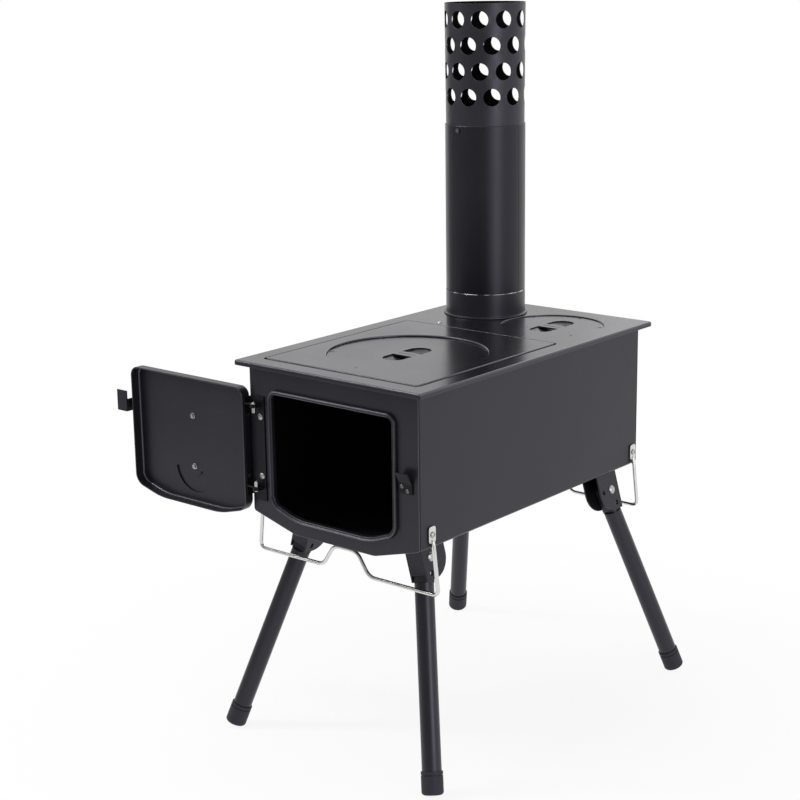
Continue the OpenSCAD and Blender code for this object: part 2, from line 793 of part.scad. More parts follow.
// Rubber foot: a cup with a rounded, grooved outside, worn flat where it stands
module leg_foot(row, side) {
    groove = 0.8;
    color(rubber) difference() {
        at_leg(row, side) translate([0, 0, -leg_l]) difference() {
            rotate_extrude($fn = 64) {
                translate([0, foot_round]) square([foot_r, foot_l - foot_round]);
                square([foot_r - foot_round, foot_round + 0.01]);
                translate([foot_r - foot_round, foot_round]) circle(foot_round, $fn = 32);
            }
            translate([0, 0, foot_floor_t]) cylinder(r = tube_r, h = foot_l);
            translate([0, 0, foot_l - 5]) pipe(foot_r + 1, foot_r - groove, 1.2);
        }
        translate([-body_w, -leg_l, -foot_l]) cube([2 * body_w, body_l + 2 * leg_l, foot_l]);
    }
}

// Cross pin of the leg lock, with domed ends that show in the bracket's holes
module leg_lock(row, side) {
    half = cheek_gap / 2 - 0.2;
    color(steel) at_leg(row, side) {
        rod_x(-half + 1.5, 0, -lock_s, lock_r, 2 * half - 3);
        for (end = [-1, 1]) translate([end * (half - 1.5), 0, -lock_s]) rotate([0, end * 90, 0])
            cylinder(r1 = lock_r, r2 = 1.2, h = 1.5);
    }
}

module leg_bolts() {
    color(steel) for (row = [0, 1], side = [-1, 1]) at_bracket(row, side) translate([0, 0, -bolt_drop[row]]) {
        rod_x(-bracket_half, 0, 0, bolt_r, 2 * bracket_half);
        rod_x(bracket_half, 0, 0, bolt_head_r, bolt_head_h);
        rod_x(-bracket_half - bolt_head_h, 0, 0, bolt_head_r, bolt_head_h, 6);
    }
}

// ---- wire bails ----

// Round wire through points in X and Z, with a ball a little thicker than the wire at each bend
module bent_wire(points) {
    ball_r = wire_r + 0.1;
    for (i = [0 : len(points) - 2]) {
        a = points[i];
        b = points[i + 1];
        run = norm(b - a);
        translate([a[0], 0, a[1]]) rotate([0, atan2(b[0] - a[0], b[1] - a[1]), 0])
            cylinder(r = wire_r, h = run, $fn = 32);
        if (i < len(points) - 2) translate([b[0], 0, b[1]]) sphere(r = ball_r, $fn = 32);
    }
}

// One wire across the stove: flat eyes at the walls, two hanging bars and a raised middle
module bail(y) {
    tab_x = half_w + tab_gap;
    wire_top = -tab_h / 2 + 2;
    right = [
        [bail_top_half, wire_top], [bail_half, -bail_drop], [bail_inner, -bail_drop],
        [bail_peak_half, -bail_peak_drop]
    ];
    left = [for (i = [len(right) - 1 : -1 : 0]) [-right[i][0], right[i][1]]];
    color(steel) translate([0, y, bail_z]) difference() {
        union() {
            bent_wire(concat(right, left));
            for (side = [-1, 1]) translate([side > 0 ? tab_x : -tab_x - tab_t, -tab_w / 2, -tab_h / 2])
                cube([tab_t, tab_w, tab_h]);
        }
        for (side = [-1, 1]) rod_x(side * half_w - 6, 0, 0, bail_rivet_r + pin_play, 12);
    }
}

module front_bail() {
    bail(bail_ys[0]);
}

module rear_bail() {
    bail(bail_ys[1]);
}

module bail_rivets() {
    head_x = half_w + 2 * tab_gap + tab_t;
    color(steel) for (y = bail_ys, side = [0, 1]) mirror([side, 0, 0]) {
        rod_x(half_w - sheet_t - 1, y, bail_z, bail_rivet_r, head_x - half_w + sheet_t + 2);
        rod_x(head_x, y, bail_z, 4, rivet_head_h);
        rod_x(half_w - sheet_t - 2, y, bail_z, 4, 2);
    }
}

// ---- drawing ----

firebox_shell();
front_plate();
back_plate();
top_frame();
top_screw();
cooktop_plate();
large_lid();
small_lid();
flue_collar();
flue_pipe();
spark_arrestor();
arrestor_screw();
door_panel();
door_leaf();
leaf_rivets();
latch_screw();
damper_screw();
latch_lever();
damper_disc();
hinge_bracket();
hinge_pins();
hinge_screws();
latch_keeper();
keeper_rivets();
leg_bolts();
bail_rivets();
front_bail();
rear_bail();
leg_bracket(0, 1);  // front_right_bracket
leg_fork(0, 1);  // front_right_fork
leg_tube(0, 1);  // front_right_tube
leg_foot(0, 1);  // front_right_foot
leg_lock(0, 1);  // front_right_lock
leg_bracket(0, -1);  // front_left_bracket
leg_fork(0, -1);  // front_left_fork
leg_tube(0, -1);  // front_left_tube
leg_foot(0, -1);  // front_left_foot
leg_lock(0, -1);  // front_left_lock
leg_bracket(1, 1);  // rear_right_bracket
leg_fork(1, 1);  // rear_right_fork
leg_tube(1, 1);  // rear_right_tube
leg_foot(1, 1);  // rear_right_foot
leg_lock(1, 1);  // rear_right_lock
leg_bracket(1, -1);  // rear_left_bracket
leg_fork(1, -1);  // rear_left_fork
leg_tube(1, -1);  // rear_left_tube
leg_foot(1, -1);  // rear_left_foot
leg_lock(1, -1);  // rear_left_lock
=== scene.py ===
"""Looks of a tent wood stove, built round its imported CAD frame.

Sizes are in metres, and MM turns millimetres into metres.
"""

import json
from math import cos, pi, radians, sin

import bmesh
import bpy
from mathutils import Matrix, Vector

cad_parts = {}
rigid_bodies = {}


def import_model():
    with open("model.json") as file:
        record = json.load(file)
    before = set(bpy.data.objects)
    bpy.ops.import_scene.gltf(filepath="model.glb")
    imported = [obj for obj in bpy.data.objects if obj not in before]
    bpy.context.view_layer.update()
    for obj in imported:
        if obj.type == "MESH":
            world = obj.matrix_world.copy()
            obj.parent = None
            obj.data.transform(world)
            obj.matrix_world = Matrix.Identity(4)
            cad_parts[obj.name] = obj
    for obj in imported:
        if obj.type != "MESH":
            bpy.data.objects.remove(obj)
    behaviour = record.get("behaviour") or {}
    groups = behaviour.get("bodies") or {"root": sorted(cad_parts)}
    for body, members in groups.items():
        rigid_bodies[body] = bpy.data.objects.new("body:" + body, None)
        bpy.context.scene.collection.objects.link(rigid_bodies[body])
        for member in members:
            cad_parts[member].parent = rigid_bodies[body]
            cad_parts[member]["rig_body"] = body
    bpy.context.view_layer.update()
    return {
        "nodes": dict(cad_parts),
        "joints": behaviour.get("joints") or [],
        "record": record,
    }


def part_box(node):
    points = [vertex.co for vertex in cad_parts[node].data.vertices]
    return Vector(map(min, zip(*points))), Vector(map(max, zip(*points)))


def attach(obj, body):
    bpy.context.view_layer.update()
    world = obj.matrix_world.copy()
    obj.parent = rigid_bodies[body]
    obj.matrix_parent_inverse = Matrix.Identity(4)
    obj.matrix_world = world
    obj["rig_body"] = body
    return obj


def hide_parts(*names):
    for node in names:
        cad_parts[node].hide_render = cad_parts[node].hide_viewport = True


MM = 0.001
FULL_TURN = 2 * pi
UP = Vector((0, 0, 1))
BACKWARD = Vector((0, 1, 0))
FORWARD = Vector((0, -1, 0))

# ---- the frame and the sizes read from it ----

bpy.ops.wm.read_factory_settings(use_empty=True)
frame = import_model()
nodes = frame["nodes"]

SHELL_LOW, SHELL_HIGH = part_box("firebox_shell")
BACK_LOW, BACK_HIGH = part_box("back_plate")
TOP_LOW, TOP_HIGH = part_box("top_frame")
COOKTOP_LOW, COOKTOP_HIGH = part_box("cooktop_plate")
LARGE_LID_LOW, LARGE_LID_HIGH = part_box("large_lid")
SMALL_LID_LOW, SMALL_LID_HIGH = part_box("small_lid")
COLLAR_LOW, COLLAR_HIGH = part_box("flue_collar")
PIPE_LOW, PIPE_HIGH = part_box("flue_pipe")
ARRESTOR_LOW, ARRESTOR_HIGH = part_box("spark_arrestor")
DOOR_LOW, DOOR_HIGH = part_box("door_panel")

HALF_WIDTH = SHELL_HIGH.x
SHEET = SHELL_LOW.y
FLOOR_Z = SHELL_LOW.z
SLOPE_RISE = 18.7 * MM
SLOPE_WIDTH = 68 * MM
TOP_SHEET = 2.5 * MM
TOP_Z = TOP_HIGH.z
PLATE_Z = TOP_Z - TOP_SHEET
PRESSED_SHEET = 0.8 * MM
FLUE_CENTRE = (ARRESTOR_LOW + ARRESTOR_HIGH) / 2
FLUE_CENTRE.z = 0
JOINTS = {joint["name"]: joint for joint in frame["joints"]}

# ---- materials ----


def linear(colour):
    """An RGBA colour from 0 to 255 values as a screen shows them."""
    out = []
    for value in colour:
        share = value / 255
        out.append(share / 12.92 if share <= 0.04045 else ((share + 0.055) / 1.055) ** 2.4)
    return (*out, 1.0)


def add_node(tree, kind, **sockets):
    """Adds a shader node, its kind given without ShaderNode, and sets or links its named inputs."""
    node = tree.nodes.new("ShaderNode" + kind)
    for name, value in sockets.items():
        socket = node.inputs[name.replace("_", " ")]
        if isinstance(value, bpy.types.NodeSocket):
            tree.links.new(value, socket)
        else:
            socket.default_value = value
    return node


def link_into(tree, kind, *sources):
    """Adds a shader node and links sources to its first inputs."""
    node = add_node(tree, kind)
    for source, socket in zip(sources, node.inputs):
        tree.links.new(source, socket)
    return node


def math_node(tree, operation, first, second):
    """The result of a Math node over two sockets."""
    node = link_into(tree, "Math", first, second)
    node.operation = operation
    return node.outputs[0]


def bare_tree(holder):
    """Empties the shader nodes of a material or a world, and returns their tree."""
    holder.use_nodes = True
    holder.node_tree.nodes.clear()
    return holder.node_tree


def map_range(tree, value, span, result=(0.0, 1.0)):
    """Maps a value from one (low, high) pair onto another and holds it between the ends."""
    node = add_node(tree, "MapRange", Value=value)
    for label, number in zip(("From Min", "From Max", "To Min", "To Max"), (*span, *result)):
        node.inputs[label].default_value = number
    return node.outputs[0]


def new_group(name, inputs):
    """A shader node group with the usual two masks out: Tone for colour and Height for bump."""
    group = bpy.data.node_groups.new(name, "ShaderNodeTree")
    for label, value in inputs.items():
        socket = group.interface.new_socket(name=label, in_out="INPUT", socket_type="NodeSocketFloat")
        socket.default_value = value
    for label in ("Tone", "Height"):
        group.interface.new_socket(name=label, in_out="OUTPUT", socket_type="NodeSocketFloat")
    entry = group.nodes.new("NodeGroupInput")
    leave = group.nodes.new("NodeGroupOutput")
    place = add_node(group, "TexCoord").outputs["Object"]
    return group, entry, leave, place


def paint_grain_group():
    """Fine texture of sprayed heat-resistant paint, with cloudy patches a hand wide."""
    group, entry, leave, place = new_group("sprayed paint grain", {"Grain": 900.0, "Patches": 9.0})
    fine = add_node(group, "TexNoise", Vector=place, Scale=entry.outputs["Grain"],
                    Detail=3.0, Roughness=0.6)
    wide = add_node(group, "TexNoise", Vector=place, Scale=entry.outputs["Patches"],
                    Detail=4.0, Roughness=0.55)
    group.links.new(wide.outputs["Fac"], leave.inputs["Tone"])
    group.links.new(fine.outputs["Fac"], leave.inputs["Height"])
    return group


SCUFF_TURN = (0.4, 0.9, 0.3)
SCUFF_STRETCH = (1.0, 7.0, 2.5)
SCUFF_SPAN = (0.64, 0.74)


def scuff_group():
    """Sparse short scratches and rubbed spots."""
    group, entry, leave, place = new_group("scuffs", {"Scale": 60.0, "Amount": 0.5})
    mapping = add_node(group, "Mapping", Vector=place, Rotation=SCUFF_TURN, Scale=SCUFF_STRETCH)
    streaks = add_node(group, "TexNoise", Vector=mapping.outputs[0], Scale=entry.outputs["Scale"],
                       Detail=5.0, Roughness=0.7)
    marks = map_range(group, streaks.outputs["Fac"], SCUFF_SPAN)
    group.links.new(math_node(group, "MULTIPLY", marks, entry.outputs["Amount"]), leave.inputs["Tone"])
    group.links.new(streaks.outputs["Fac"], leave.inputs["Height"])
    return group


PAINT_GRAIN = paint_grain_group()
SCUFFS = scuff_group()


def place_group(tree, group, **values):
    """Adds a shader group, with values on some of its inputs."""
    node = add_node(tree, "Group")
    node.node_tree = group
    for name, value in values.items():
        node.inputs[name].default_value = value
    return node


# Nearly all of a noise lies between these values
NOISE_SPAN = (0.3, 0.7)


def ramp_between(tree, mask, low, high):
    """Maps a noise onto the range from low to high."""
    return map_range(tree, mask, NOISE_SPAN, (low, high))


# The Mix node's colour sockets, which share their names with its other sockets
MIX_FIRST, MIX_SECOND, MIX_RESULT = 6, 7, 2


def colour_between(tree, mask, first, second):
    """Mixes two colours, each given as a value or a socket, by a mask."""
    mix = add_node(tree, "Mix")
    mix.data_type = "RGBA"
    tree.links.new(mask, mix.inputs["Factor"])
    for socket, value in ((mix.inputs[MIX_FIRST], first), (mix.inputs[MIX_SECOND], second)):
        if isinstance(value, bpy.types.NodeSocket):
            tree.links.new(value, socket)
        else:
            socket.default_value = value
    return mix.outputs[MIX_RESULT]


def new_material(name):
    """A material with a bare Principled shader, and the tree it stands in."""
    material = bpy.data.materials.new(name)
    tree = bare_tree(material)
    shader = add_node(tree, "BsdfPrincipled")
    link_into(tree, "OutputMaterial", shader.outputs[0])
    return material, tree, shader


def bump(tree, shader, height, depth):
    """Raises the surface faintly by a height mask."""
    node = add_node(tree, "Bump", Height=height, Strength=BUMP_STRENGTH, Distance=depth)
    tree.links.new(node.outputs[0], shader.inputs["Normal"])


PAINT_TINT = (0.86, 0.83, 1.0, 1.0)
RUBBED_LIGHTER = 4
BUMP_STRENGTH = 0.1


def painted(name, dark, light, rough_low, rough_high, gloss=0.5, scuffs=0.35, grain=900.0):
    """Black stove paint: cloudy in tone and gloss, finely grained, rubbed lighter in places."""
    dark, light = linear(dark), linear(light)
    material, tree, shader = new_material(name)
    shader.inputs["Specular IOR Level"].default_value = gloss
    shader.inputs["Specular Tint"].default_value = PAINT_TINT
    coat = place_group(tree, PAINT_GRAIN, Grain=grain)
    marks = place_group(tree, SCUFFS, Amount=scuffs)
    cloud = colour_between(tree, coat.outputs["Tone"], dark, light)
    rubbed = (*(min(1.0, value * RUBBED_LIGHTER) for value in light[:3]), 1.0)
    tree.links.new(colour_between(tree, marks.outputs["Tone"], cloud, rubbed), shader.inputs["Base Color"])
    roughness = ramp_between(tree, coat.outputs["Tone"], rough_low, rough_high)
    tree.links.new(roughness, shader.inputs["Roughness"])
    bump(tree, shader, coat.outputs["Height"], 0.12 * MM)
    return material


def metal(name, dark, light, rough_low, rough_high, grain):
    """Bare metal with fine drawn lines and a mottled gloss."""
    material, tree, shader = new_material(name)
    shader.inputs["Metallic"].default_value = 1.0
    coat = place_group(tree, PAINT_GRAIN, Grain=grain, Patches=120.0)
    colour = colour_between(tree, coat.outputs["Tone"], linear(dark), linear(light))
    tree.links.new(colour, shader.inputs["Base Color"])
    roughness = ramp_between(tree, coat.outputs["Tone"], rough_low, rough_high)
    tree.links.new(roughness, shader.inputs["Roughness"])
    bump(tree, shader, coat.outputs["Height"], 0.08 * MM)
    return material


def worn_edge(name):
    """Paint knocked off an edge in short runs, with bare steel under it."""
    material, tree, shader = new_material(name)
    coat = place_group(tree, PAINT_GRAIN, Grain=260.0, Patches=70.0)
    mask = ramp_between(tree, coat.outputs["Tone"], -0.6, 1.4)
    colour = colour_between(tree, mask, linear((16, 16, 18)), linear((215, 215, 210)))
    tree.links.new(colour, shader.inputs["Base Color"])
    tree.links.new(mask, shader.inputs["Metallic"])
    tree.links.new(ramp_between(tree, coat.outputs["Height"], 0.2, 0.4), shader.inputs["Roughness"])
    return material


STOVE_BLACK = painted("stove black", (9, 9, 11), (29, 29, 34), 0.32, 0.42, gloss=0.45)
TOP_BLACK = painted("cooking top black", (13, 13, 15), (25, 25, 28), 0.19, 0.26, gloss=0.6, scuffs=0.5)
FLUE_BLACK = painted("flue black", (12, 12, 15), (24, 24, 29), 0.28, 0.36, gloss=0.42)
LEG_BLACK = painted("leg black", (15, 15, 18), (24, 24, 28), 0.30, 0.40, gloss=0.54, scuffs=0.6)
HINGE_BLACK = painted("hinge black", (9, 9, 11), (16, 16, 19), 0.36, 0.46, gloss=0.22, scuffs=0.6)
# Near-black matte paint for the insides of the firebox and the arrestor: painted shade
CHAMBER_SHADE = painted("painted chamber shade", (4, 4, 4), (8, 8, 8), 0.85, 0.95, gloss=0.1, scuffs=0.0)
RUBBER = painted("foot rubber", (22, 22, 26), (30, 30, 35), 0.5, 0.65, scuffs=0.2, grain=500.0)
ZINC = metal("zinc plating", (150, 150, 150), (205, 205, 203), 0.14, 0.28, 1400.0)
STAINLESS = metal("stainless wire", (195, 195, 193), (228, 228, 226), 0.07, 0.15, 1800.0)
# Lighter, glossier paint for rounded edges: its lighter colour is a painted highlight, and its marks are
# scuffs
EDGE_SHEEN_AND_SCUFFS = painted("painted edge highlight with scuffs", (34, 34, 38), (62, 62, 66), 0.16, 0.26, gloss=0.85, scuffs=0.8)
# Lighter flue black for the collar and the arrestor: the extra lightness is painted light, making up for the
# shade they sit in
FLUE_BLACK_WITH_PAINTED_LIGHT = painted("flue black with painted light", (24, 24, 28), (38, 38, 43), 0.30, 0.40, gloss=0.5)
BLACKENED = metal("blackened rivet steel", (46, 46, 48), (150, 150, 148), 0.2, 0.4, 1400.0)
WORN_EDGE = worn_edge("worn collar edge")

FINISH_OF_SLOT = {
    "black_paint": STOVE_BLACK,
    "zinc_hardware": ZINC,
    "stainless_wire": STAINLESS,
    "black_rubber": RUBBER,
}

# ---- shaping tools ----

# The material number of the rounded edge faces that carry the lighter edge paint, a painted highlight with
# scuffs
EDGE_SHEEN_INDEX = 1
# Points nearer than this count as one
SAME = 1e-6
# Heights nearer than this count as level
LEVEL = 0.1 * MM
SLAB_ROUND = 0.4 * MM
FOLD = 3 * MM
FOLD_STEPS = 5


def new_object(name, data):
    """An object in the scene with this data."""
    obj = bpy.data.objects.new(name, data)
    bpy.context.scene.collection.objects.link(obj)
    return obj


def mesh_of(name, bm):
    """Turns a bmesh into a mesh and frees it."""
    mesh = bpy.data.meshes.new(name)
    bm.to_mesh(mesh)
    bm.free()
    return mesh


def finish_piece(name, bm, material, body, replaced=(), angle=32):
    """Makes a finished bmesh an object that rides on a CAD body and stands for CAD nodes."""
    mesh = mesh_of(name, bm)
    cad_normals = mesh.attributes.get("custom_normal")
    if cad_normals:
        mesh.attributes.remove(cad_normals)
    mesh.shade_smooth()
    mesh.set_sharp_from_angle(angle=radians(angle))
    mesh.materials.append(material)
    # Faces marked for the edge paint get its lighter colour, a painted highlight with scuffs
    if any(face.material_index for face in mesh.polygons):
        mesh.materials.append(EDGE_SHEEN_AND_SCUFFS)
    obj = new_object(name, mesh)
    even = obj.modifiers.new("even shading", "WEIGHTED_NORMAL")
    even.keep_sharp = True
    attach(obj, body)
    if replaced:
        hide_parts(*replaced)
    return obj


def stand_in(name, bm, material, node, angle=32):
    """Finishes a piece that takes a CAD node's place, on its body, in the material given."""
    return finish_piece(name, bm, material, nodes[node]["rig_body"], [node], angle)


def set_into(bm, other):
    """Adds another bmesh's shape to bm."""
    mesh = mesh_of("part", other)
    bm.from_mesh(mesh)
    bpy.data.meshes.remove(mesh)


def closed_loop(bm, corners, radius=0.0, segments=8, sharp=()):
    """Adds a flat closed line through corners, all rounded to radius but those numbered in sharp."""
    before = set(bm.edges)
    face = bm.faces.new([bm.verts.new(corner) for corner in corners])
    if radius:
        rounded = [vert for number, vert in enumerate(face.verts) if number not in sharp]
        bmesh.ops.bevel(bm, geom=rounded, offset=radius, affect="VERTICES", segments=segments,
                        profile=0.5, material=-1)
    fresh = [edge for edge in bm.edges if edge not in before]
    faces = {face for edge in fresh for face in edge.link_faces}
    bmesh.ops.delete(bm, geom=list(faces), context="FACES_ONLY")
    return fresh


def ring_loop(bm, centre, radius, segments=96):
    """Adds a flat circle in X and Y."""
    bmesh.ops.create_circle(bm, cap_ends=False, radius=radius, segments=segments,
                            matrix=Matrix.Translation(centre))


def rectangle(x0, y0, x1, y1, z):
    """Corners of a level rectangle, in turn."""
    return [(x0, y0, z), (x1, y0, z), (x1, y1, z), (x0, y1, z)]


def fill_flat(bm):
    """Fills the flat region between all loops in bm."""
    bmesh.ops.triangle_fill(bm, use_beauty=True, use_dissolve=False, edges=bm.edges[:])
    bmesh.ops.dissolve_limit(bm, angle_limit=radians(1), verts=bm.verts[:], edges=bm.edges[:])
    return bm.faces[:]


def verts_of(items):
    """The vertices among the items that a bmesh operator gives back."""
    return [item for item in items if isinstance(item, bmesh.types.BMVert)]


def face_towards(bm, direction):
    """Flips the faces that look away from a direction."""
    for face in bm.faces:
        if face.normal.dot(direction) < 0:
            face.normal_flip()


def join_points(bm):
    """Joins the points that lie in one place."""
    bmesh.ops.remove_doubles(bm, verts=bm.verts[:], dist=SAME)


def thicken(bm, faces, shift):
    """Pulls flat faces out by shift, as a closed slab."""
    pulled = bmesh.ops.extrude_face_region(bm, geom=faces)["geom"]
    bmesh.ops.translate(bm, verts=verts_of(pulled), vec=shift)
    bmesh.ops.recalc_face_normals(bm, faces=bm.faces[:])


def soften(bm, width, segments=2, angle=30, chosen=None, rubbed=False):
    """Rounds the edges where faces meet at more than angle degrees; where asked, gives the rounds the lighter
    edge paint, a painted highlight with scuffs.
    """
    limit = radians(angle)
    edges = [edge for edge in bm.edges if len(edge.link_faces) == 2 and edge.calc_face_angle(0.0) > limit]
    if chosen:
        edges = [edge for edge in edges if chosen(edge)]
    rounds = bmesh.ops.bevel(bm, geom=edges, offset=width, affect="EDGES", segments=segments,
                             profile=0.5, material=-1, clamp_overlap=True)
    if rubbed:
        for face in rounds["faces"]:
            face.material_index = EDGE_SHEEN_INDEX


def pull_edges(bm, edges, shift):
    """Extrudes edges by shift."""
    pulled = bmesh.ops.extrude_edge_only(bm, edges=edges)["geom"]
    bmesh.ops.translate(bm, verts=verts_of(pulled), vec=shift)


def turned(profile, centre, segments=96, angle=FULL_TURN, start=0.0):
    """Spins a profile of (radius, height) points about a vertical axis at centre."""
    bm = bmesh.new()
    turn = Matrix.Rotation(start, 3, "Z")
    verts = [bm.verts.new(Vector(centre) + turn @ Vector((radius, 0, height))) for radius, height in profile]
    edges = [bm.edges.new(pair) for pair in zip(verts, verts[1:])]
    bmesh.ops.spin(bm, geom=verts + edges, cent=centre, axis=UP, angle=angle,
                   steps=segments, use_merge=angle == FULL_TURN)
    join_points(bm)
    bmesh.ops.recalc_face_normals(bm, faces=bm.faces[:])
    return bm


def slab(loops, shift, width=SLAB_ROUND, segments=2, rubbed=False):
    """A flat plate pulled out by shift and softened; each of its loops is a function and its details."""
    bm = bmesh.new()
    for add_loop, *details in loops:
        add_loop(bm, *details)
    thicken(bm, fill_flat(bm), shift)
    soften(bm, width, segments, rubbed=rubbed)
    return bm


def pressed_steps(bm, loop, steps, facing):
    """Presses a form into the face inside a loop: steps are (inward, outward) moves from its outline."""
    face = bmesh.ops.contextual_create(bm, geom=loop)["faces"][0]
    face.normal_update()
    if face.normal.dot(facing) < 0:
        face.normal_flip()
    bm.normal_update()
    for inward, outward in steps:
        bmesh.ops.inset_region(bm, faces=[face], thickness=inward, depth=outward, use_even_offset=True,
                                use_boundary=True)
    return face


def placed(bm, place, direction):
    """Turns a shape made round Z at the origin so that its top points in direction, and moves it to place."""
    turn = Vector(direction).to_track_quat("Z", "Y").to_matrix().to_4x4()
    bmesh.ops.transform(bm, matrix=Matrix.Translation(place) @ turn, verts=bm.verts[:])
    return bm


def rounded_copy(node, width, material=None, segments=2):
    """The CAD node's own shape with its edges rounded, in its place."""
    bm = bmesh.new()
    bm.from_mesh(nodes[node].data)
    join_points(bm)
    bmesh.ops.dissolve_limit(bm, angle_limit=radians(1.5), verts=bm.verts[:], edges=bm.edges[:])
    soften(bm, width, segments)
    stand_in(node + "_made", bm, material or FINISH_OF_SLOT[SLOT_OF_NODE[node]], node)


SLOT_OF_NODE = {part["node"]: part["material_slot"] for part in frame["record"]["subparts"]}

# ---- firebox ----


def sloped_corners(half, top, knee, low_half, low, y):
    """Corners of a box end with sloped lower sides, standing in X and Z."""
    return [(-half, y, top), (-half, y, knee), (-low_half, y, low),
            (low_half, y, low), (half, y, knee), (half, y, top)]


KNEE_Z = FLOOR_Z + SLOPE_RISE
FLOOR_HALF = HALF_WIDTH - SLOPE_WIDTH
CHAMBER_MIDDLE = (SHELL_LOW + SHELL_HIGH) / 2
SHELL_ROUND = 0.6 * MM
FRONT_ROUND = 0.75 * MM
BACK_ROUND = 0.7 * MM
# The front is narrower than the shell by this on each side
FRONT_INSET = 0.6 * MM


# Cosine of the widest angle at which a face still looks inward
LOOKS_INWARD = 0.3


def shade_inside(piece, middle, along=1):
    """Gives the faces that look towards a hollow piece's middle line, along axis number along, a near-black
    matte paint: painted shade inside.
    """
    piece.data.materials.append(CHAMBER_SHADE)
    shade_slot = len(piece.data.materials) - 1
    for face in piece.data.polygons:
        inward = middle - face.center
        inward[along] = 0
        if face.normal.dot(inward) > LOOKS_INWARD * inward.length:
            face.material_index = shade_slot


def firebox_sheet():
    """One folded sheet: two walls, two slopes and the floor, open at the top."""
    bm = bmesh.new()
    corners = sloped_corners(HALF_WIDTH, SHELL_HIGH.z, KNEE_Z, FLOOR_HALF, FLOOR_Z, SHELL_LOW.y)
    verts = [bm.verts.new(corner) for corner in corners]
    for pair in zip(verts, verts[1:]):
        bm.edges.new(pair)
    bmesh.ops.bevel(bm, geom=verts[1:-1], offset=FOLD, affect="VERTICES", segments=FOLD_STEPS,
                    profile=0.5, material=-1)
    pull_edges(bm, bm.edges[:], BACKWARD * (SHELL_HIGH.y - SHELL_LOW.y))
    for face in bm.faces:
        middle = face.calc_center_median()
        outward = middle - Vector((0, middle.y, CHAMBER_MIDDLE.z))
        if face.normal.dot(outward) < 0:
            face.normal_flip()
    bmesh.ops.solidify(bm, geom=bm.faces[:], thickness=SHEET)
    soften(bm, SHELL_ROUND, 2, chosen=lambda edge: abs(edge.verts[0].co.y - edge.verts[1].co.y) < SAME)
    shell = stand_in("firebox_sheet", bm, STOVE_BLACK, "firebox_shell", angle=40)
    # The chamber's inside gets painted shade
    shade_inside(shell, CHAMBER_MIDDLE)


# The pressed lip round the fire door opening, as (inward, forward) steps in millimetres from its outer foot
LIP_STEPS = [
    (0.0, 2.6), (0.3, 1.2), (0.6, 0.8), (0.9, 0.4), (0.8, -0.4), (0.5, -0.8), (0.6, -0.2), (0.5, 0.3),
    (0.6, 0.3), (0.5, -0.3), (0.4, -0.8), (0.3, -1.0), (0.0, -4.0),
]
# The lip's faces in front of this get the lighter edge paint, a painted highlight with scuffs
LIP_CREST = -3.9 * MM
# How far the lip's outer foot lies in from the outline of the front
LIP_SIDE = 31.6 * MM
LIP_TOP = 29.3 * MM
LIP_KNEE = 31.2 * MM
LIP_NARROWER = 5 * MM
LIP_FLOOR = 16.2 * MM
LIP_CORNER = 13 * MM
# How deep in the front the lip begins
LIP_ROOT = 0.5 * MM


def lip_corners(y):
    """Corners of the lip's outer foot."""
    return sloped_corners(HALF_WIDTH - LIP_SIDE, SHELL_HIGH.z - LIP_TOP, FLOOR_Z + LIP_KNEE,
                          FLOOR_HALF - LIP_NARROWER, FLOOR_Z + LIP_FLOOR, y)


def front_sheet():
    """The front plate with a pressed, rolled lip round its opening."""
    outer = sloped_corners(HALF_WIDTH - FRONT_INSET, SHELL_HIGH.z, KNEE_Z, FLOOR_HALF, FLOOR_Z, 0)
    opening = lip_corners(0)
    # The plate's rounded edges and the lip's crest get the lighter edge paint, a painted highlight with
    # scuffs
    bm = slab([
        (closed_loop, outer, FOLD, FOLD_STEPS, (0, 5)),
        (closed_loop, opening, LIP_CORNER, 10),
    ], BACKWARD * SHEET, FRONT_ROUND, 3, rubbed=True)
    lip = bmesh.new()
    loop = closed_loop(lip, lip_corners(LIP_ROOT), LIP_CORNER, 10)
    steps = [(inward * MM, forward * MM) for inward, forward in LIP_STEPS]
    mouth = pressed_steps(lip, loop, steps, FORWARD)
    bmesh.ops.delete(lip, geom=[mouth], context="FACES")
    for face in lip.faces:
        if face.calc_center_median().y < LIP_CREST:
            face.material_index = EDGE_SHEEN_INDEX
    bmesh.ops.solidify(lip, geom=lip.faces[:], thickness=PRESSED_SHEET)
    set_into(bm, lip)
    stand_in("front_sheet", bm, STOVE_BLACK, "front_plate", angle=50)


def back_sheet():
    """The flat back plate."""
    corners = sloped_corners(HALF_WIDTH, SHELL_HIGH.z, KNEE_Z, FLOOR_HALF, FLOOR_Z, BACK_LOW.y)
    bm = slab([(closed_loop, corners, FOLD, FOLD_STEPS, (0, 5))],
              BACKWARD * (BACK_HIGH.y - BACK_LOW.y), BACK_ROUND)
    stand_in("back_sheet", bm, STOVE_BLACK, "back_plate")


# ---- top, cooktop and lids ----

GAP = 0.5 * MM
COLLAR_GAP = 0.3 * MM
GROOVE = 1.5 * MM
RIM_ROUND = 2.3 * MM
MOUTH_ROUND = 1.3 * MM
COOKTOP_ROUND = 1.4 * MM
RIM_FOOT_ROUND = 0.5 * MM
# Least turn of the rim's fold, in radians
FOLD_TURN = 1
# Edges this near to the outline of the top belong to its rim
RIM_BAND = 7 * MM
SEAT_WIDTH = 6 * MM
SEAT_LAP = 2 * MM
SEAT_SHEET = 2 * MM
COOKTOP_CORNER = 6 * MM
LARGE_LID_SUNK = 2.2 * MM
SMALL_LID_SUNK = 1.4 * MM


def grown_cooktop(margin, z):
    """Corners of the cooktop's rectangle, moved out by margin."""
    return rectangle(COOKTOP_LOW.x - margin, COOKTOP_LOW.y - margin,
                     COOKTOP_HIGH.x + margin, COOKTOP_HIGH.y + margin, z)


def round_seat(centre, radius):
    """The ring under a round opening that its lid rests on."""
    return slab([
        (ring_loop, centre, radius + GAP + SEAT_LAP),
        (ring_loop, centre, radius - SEAT_WIDTH),
    ], UP * -SEAT_SHEET)


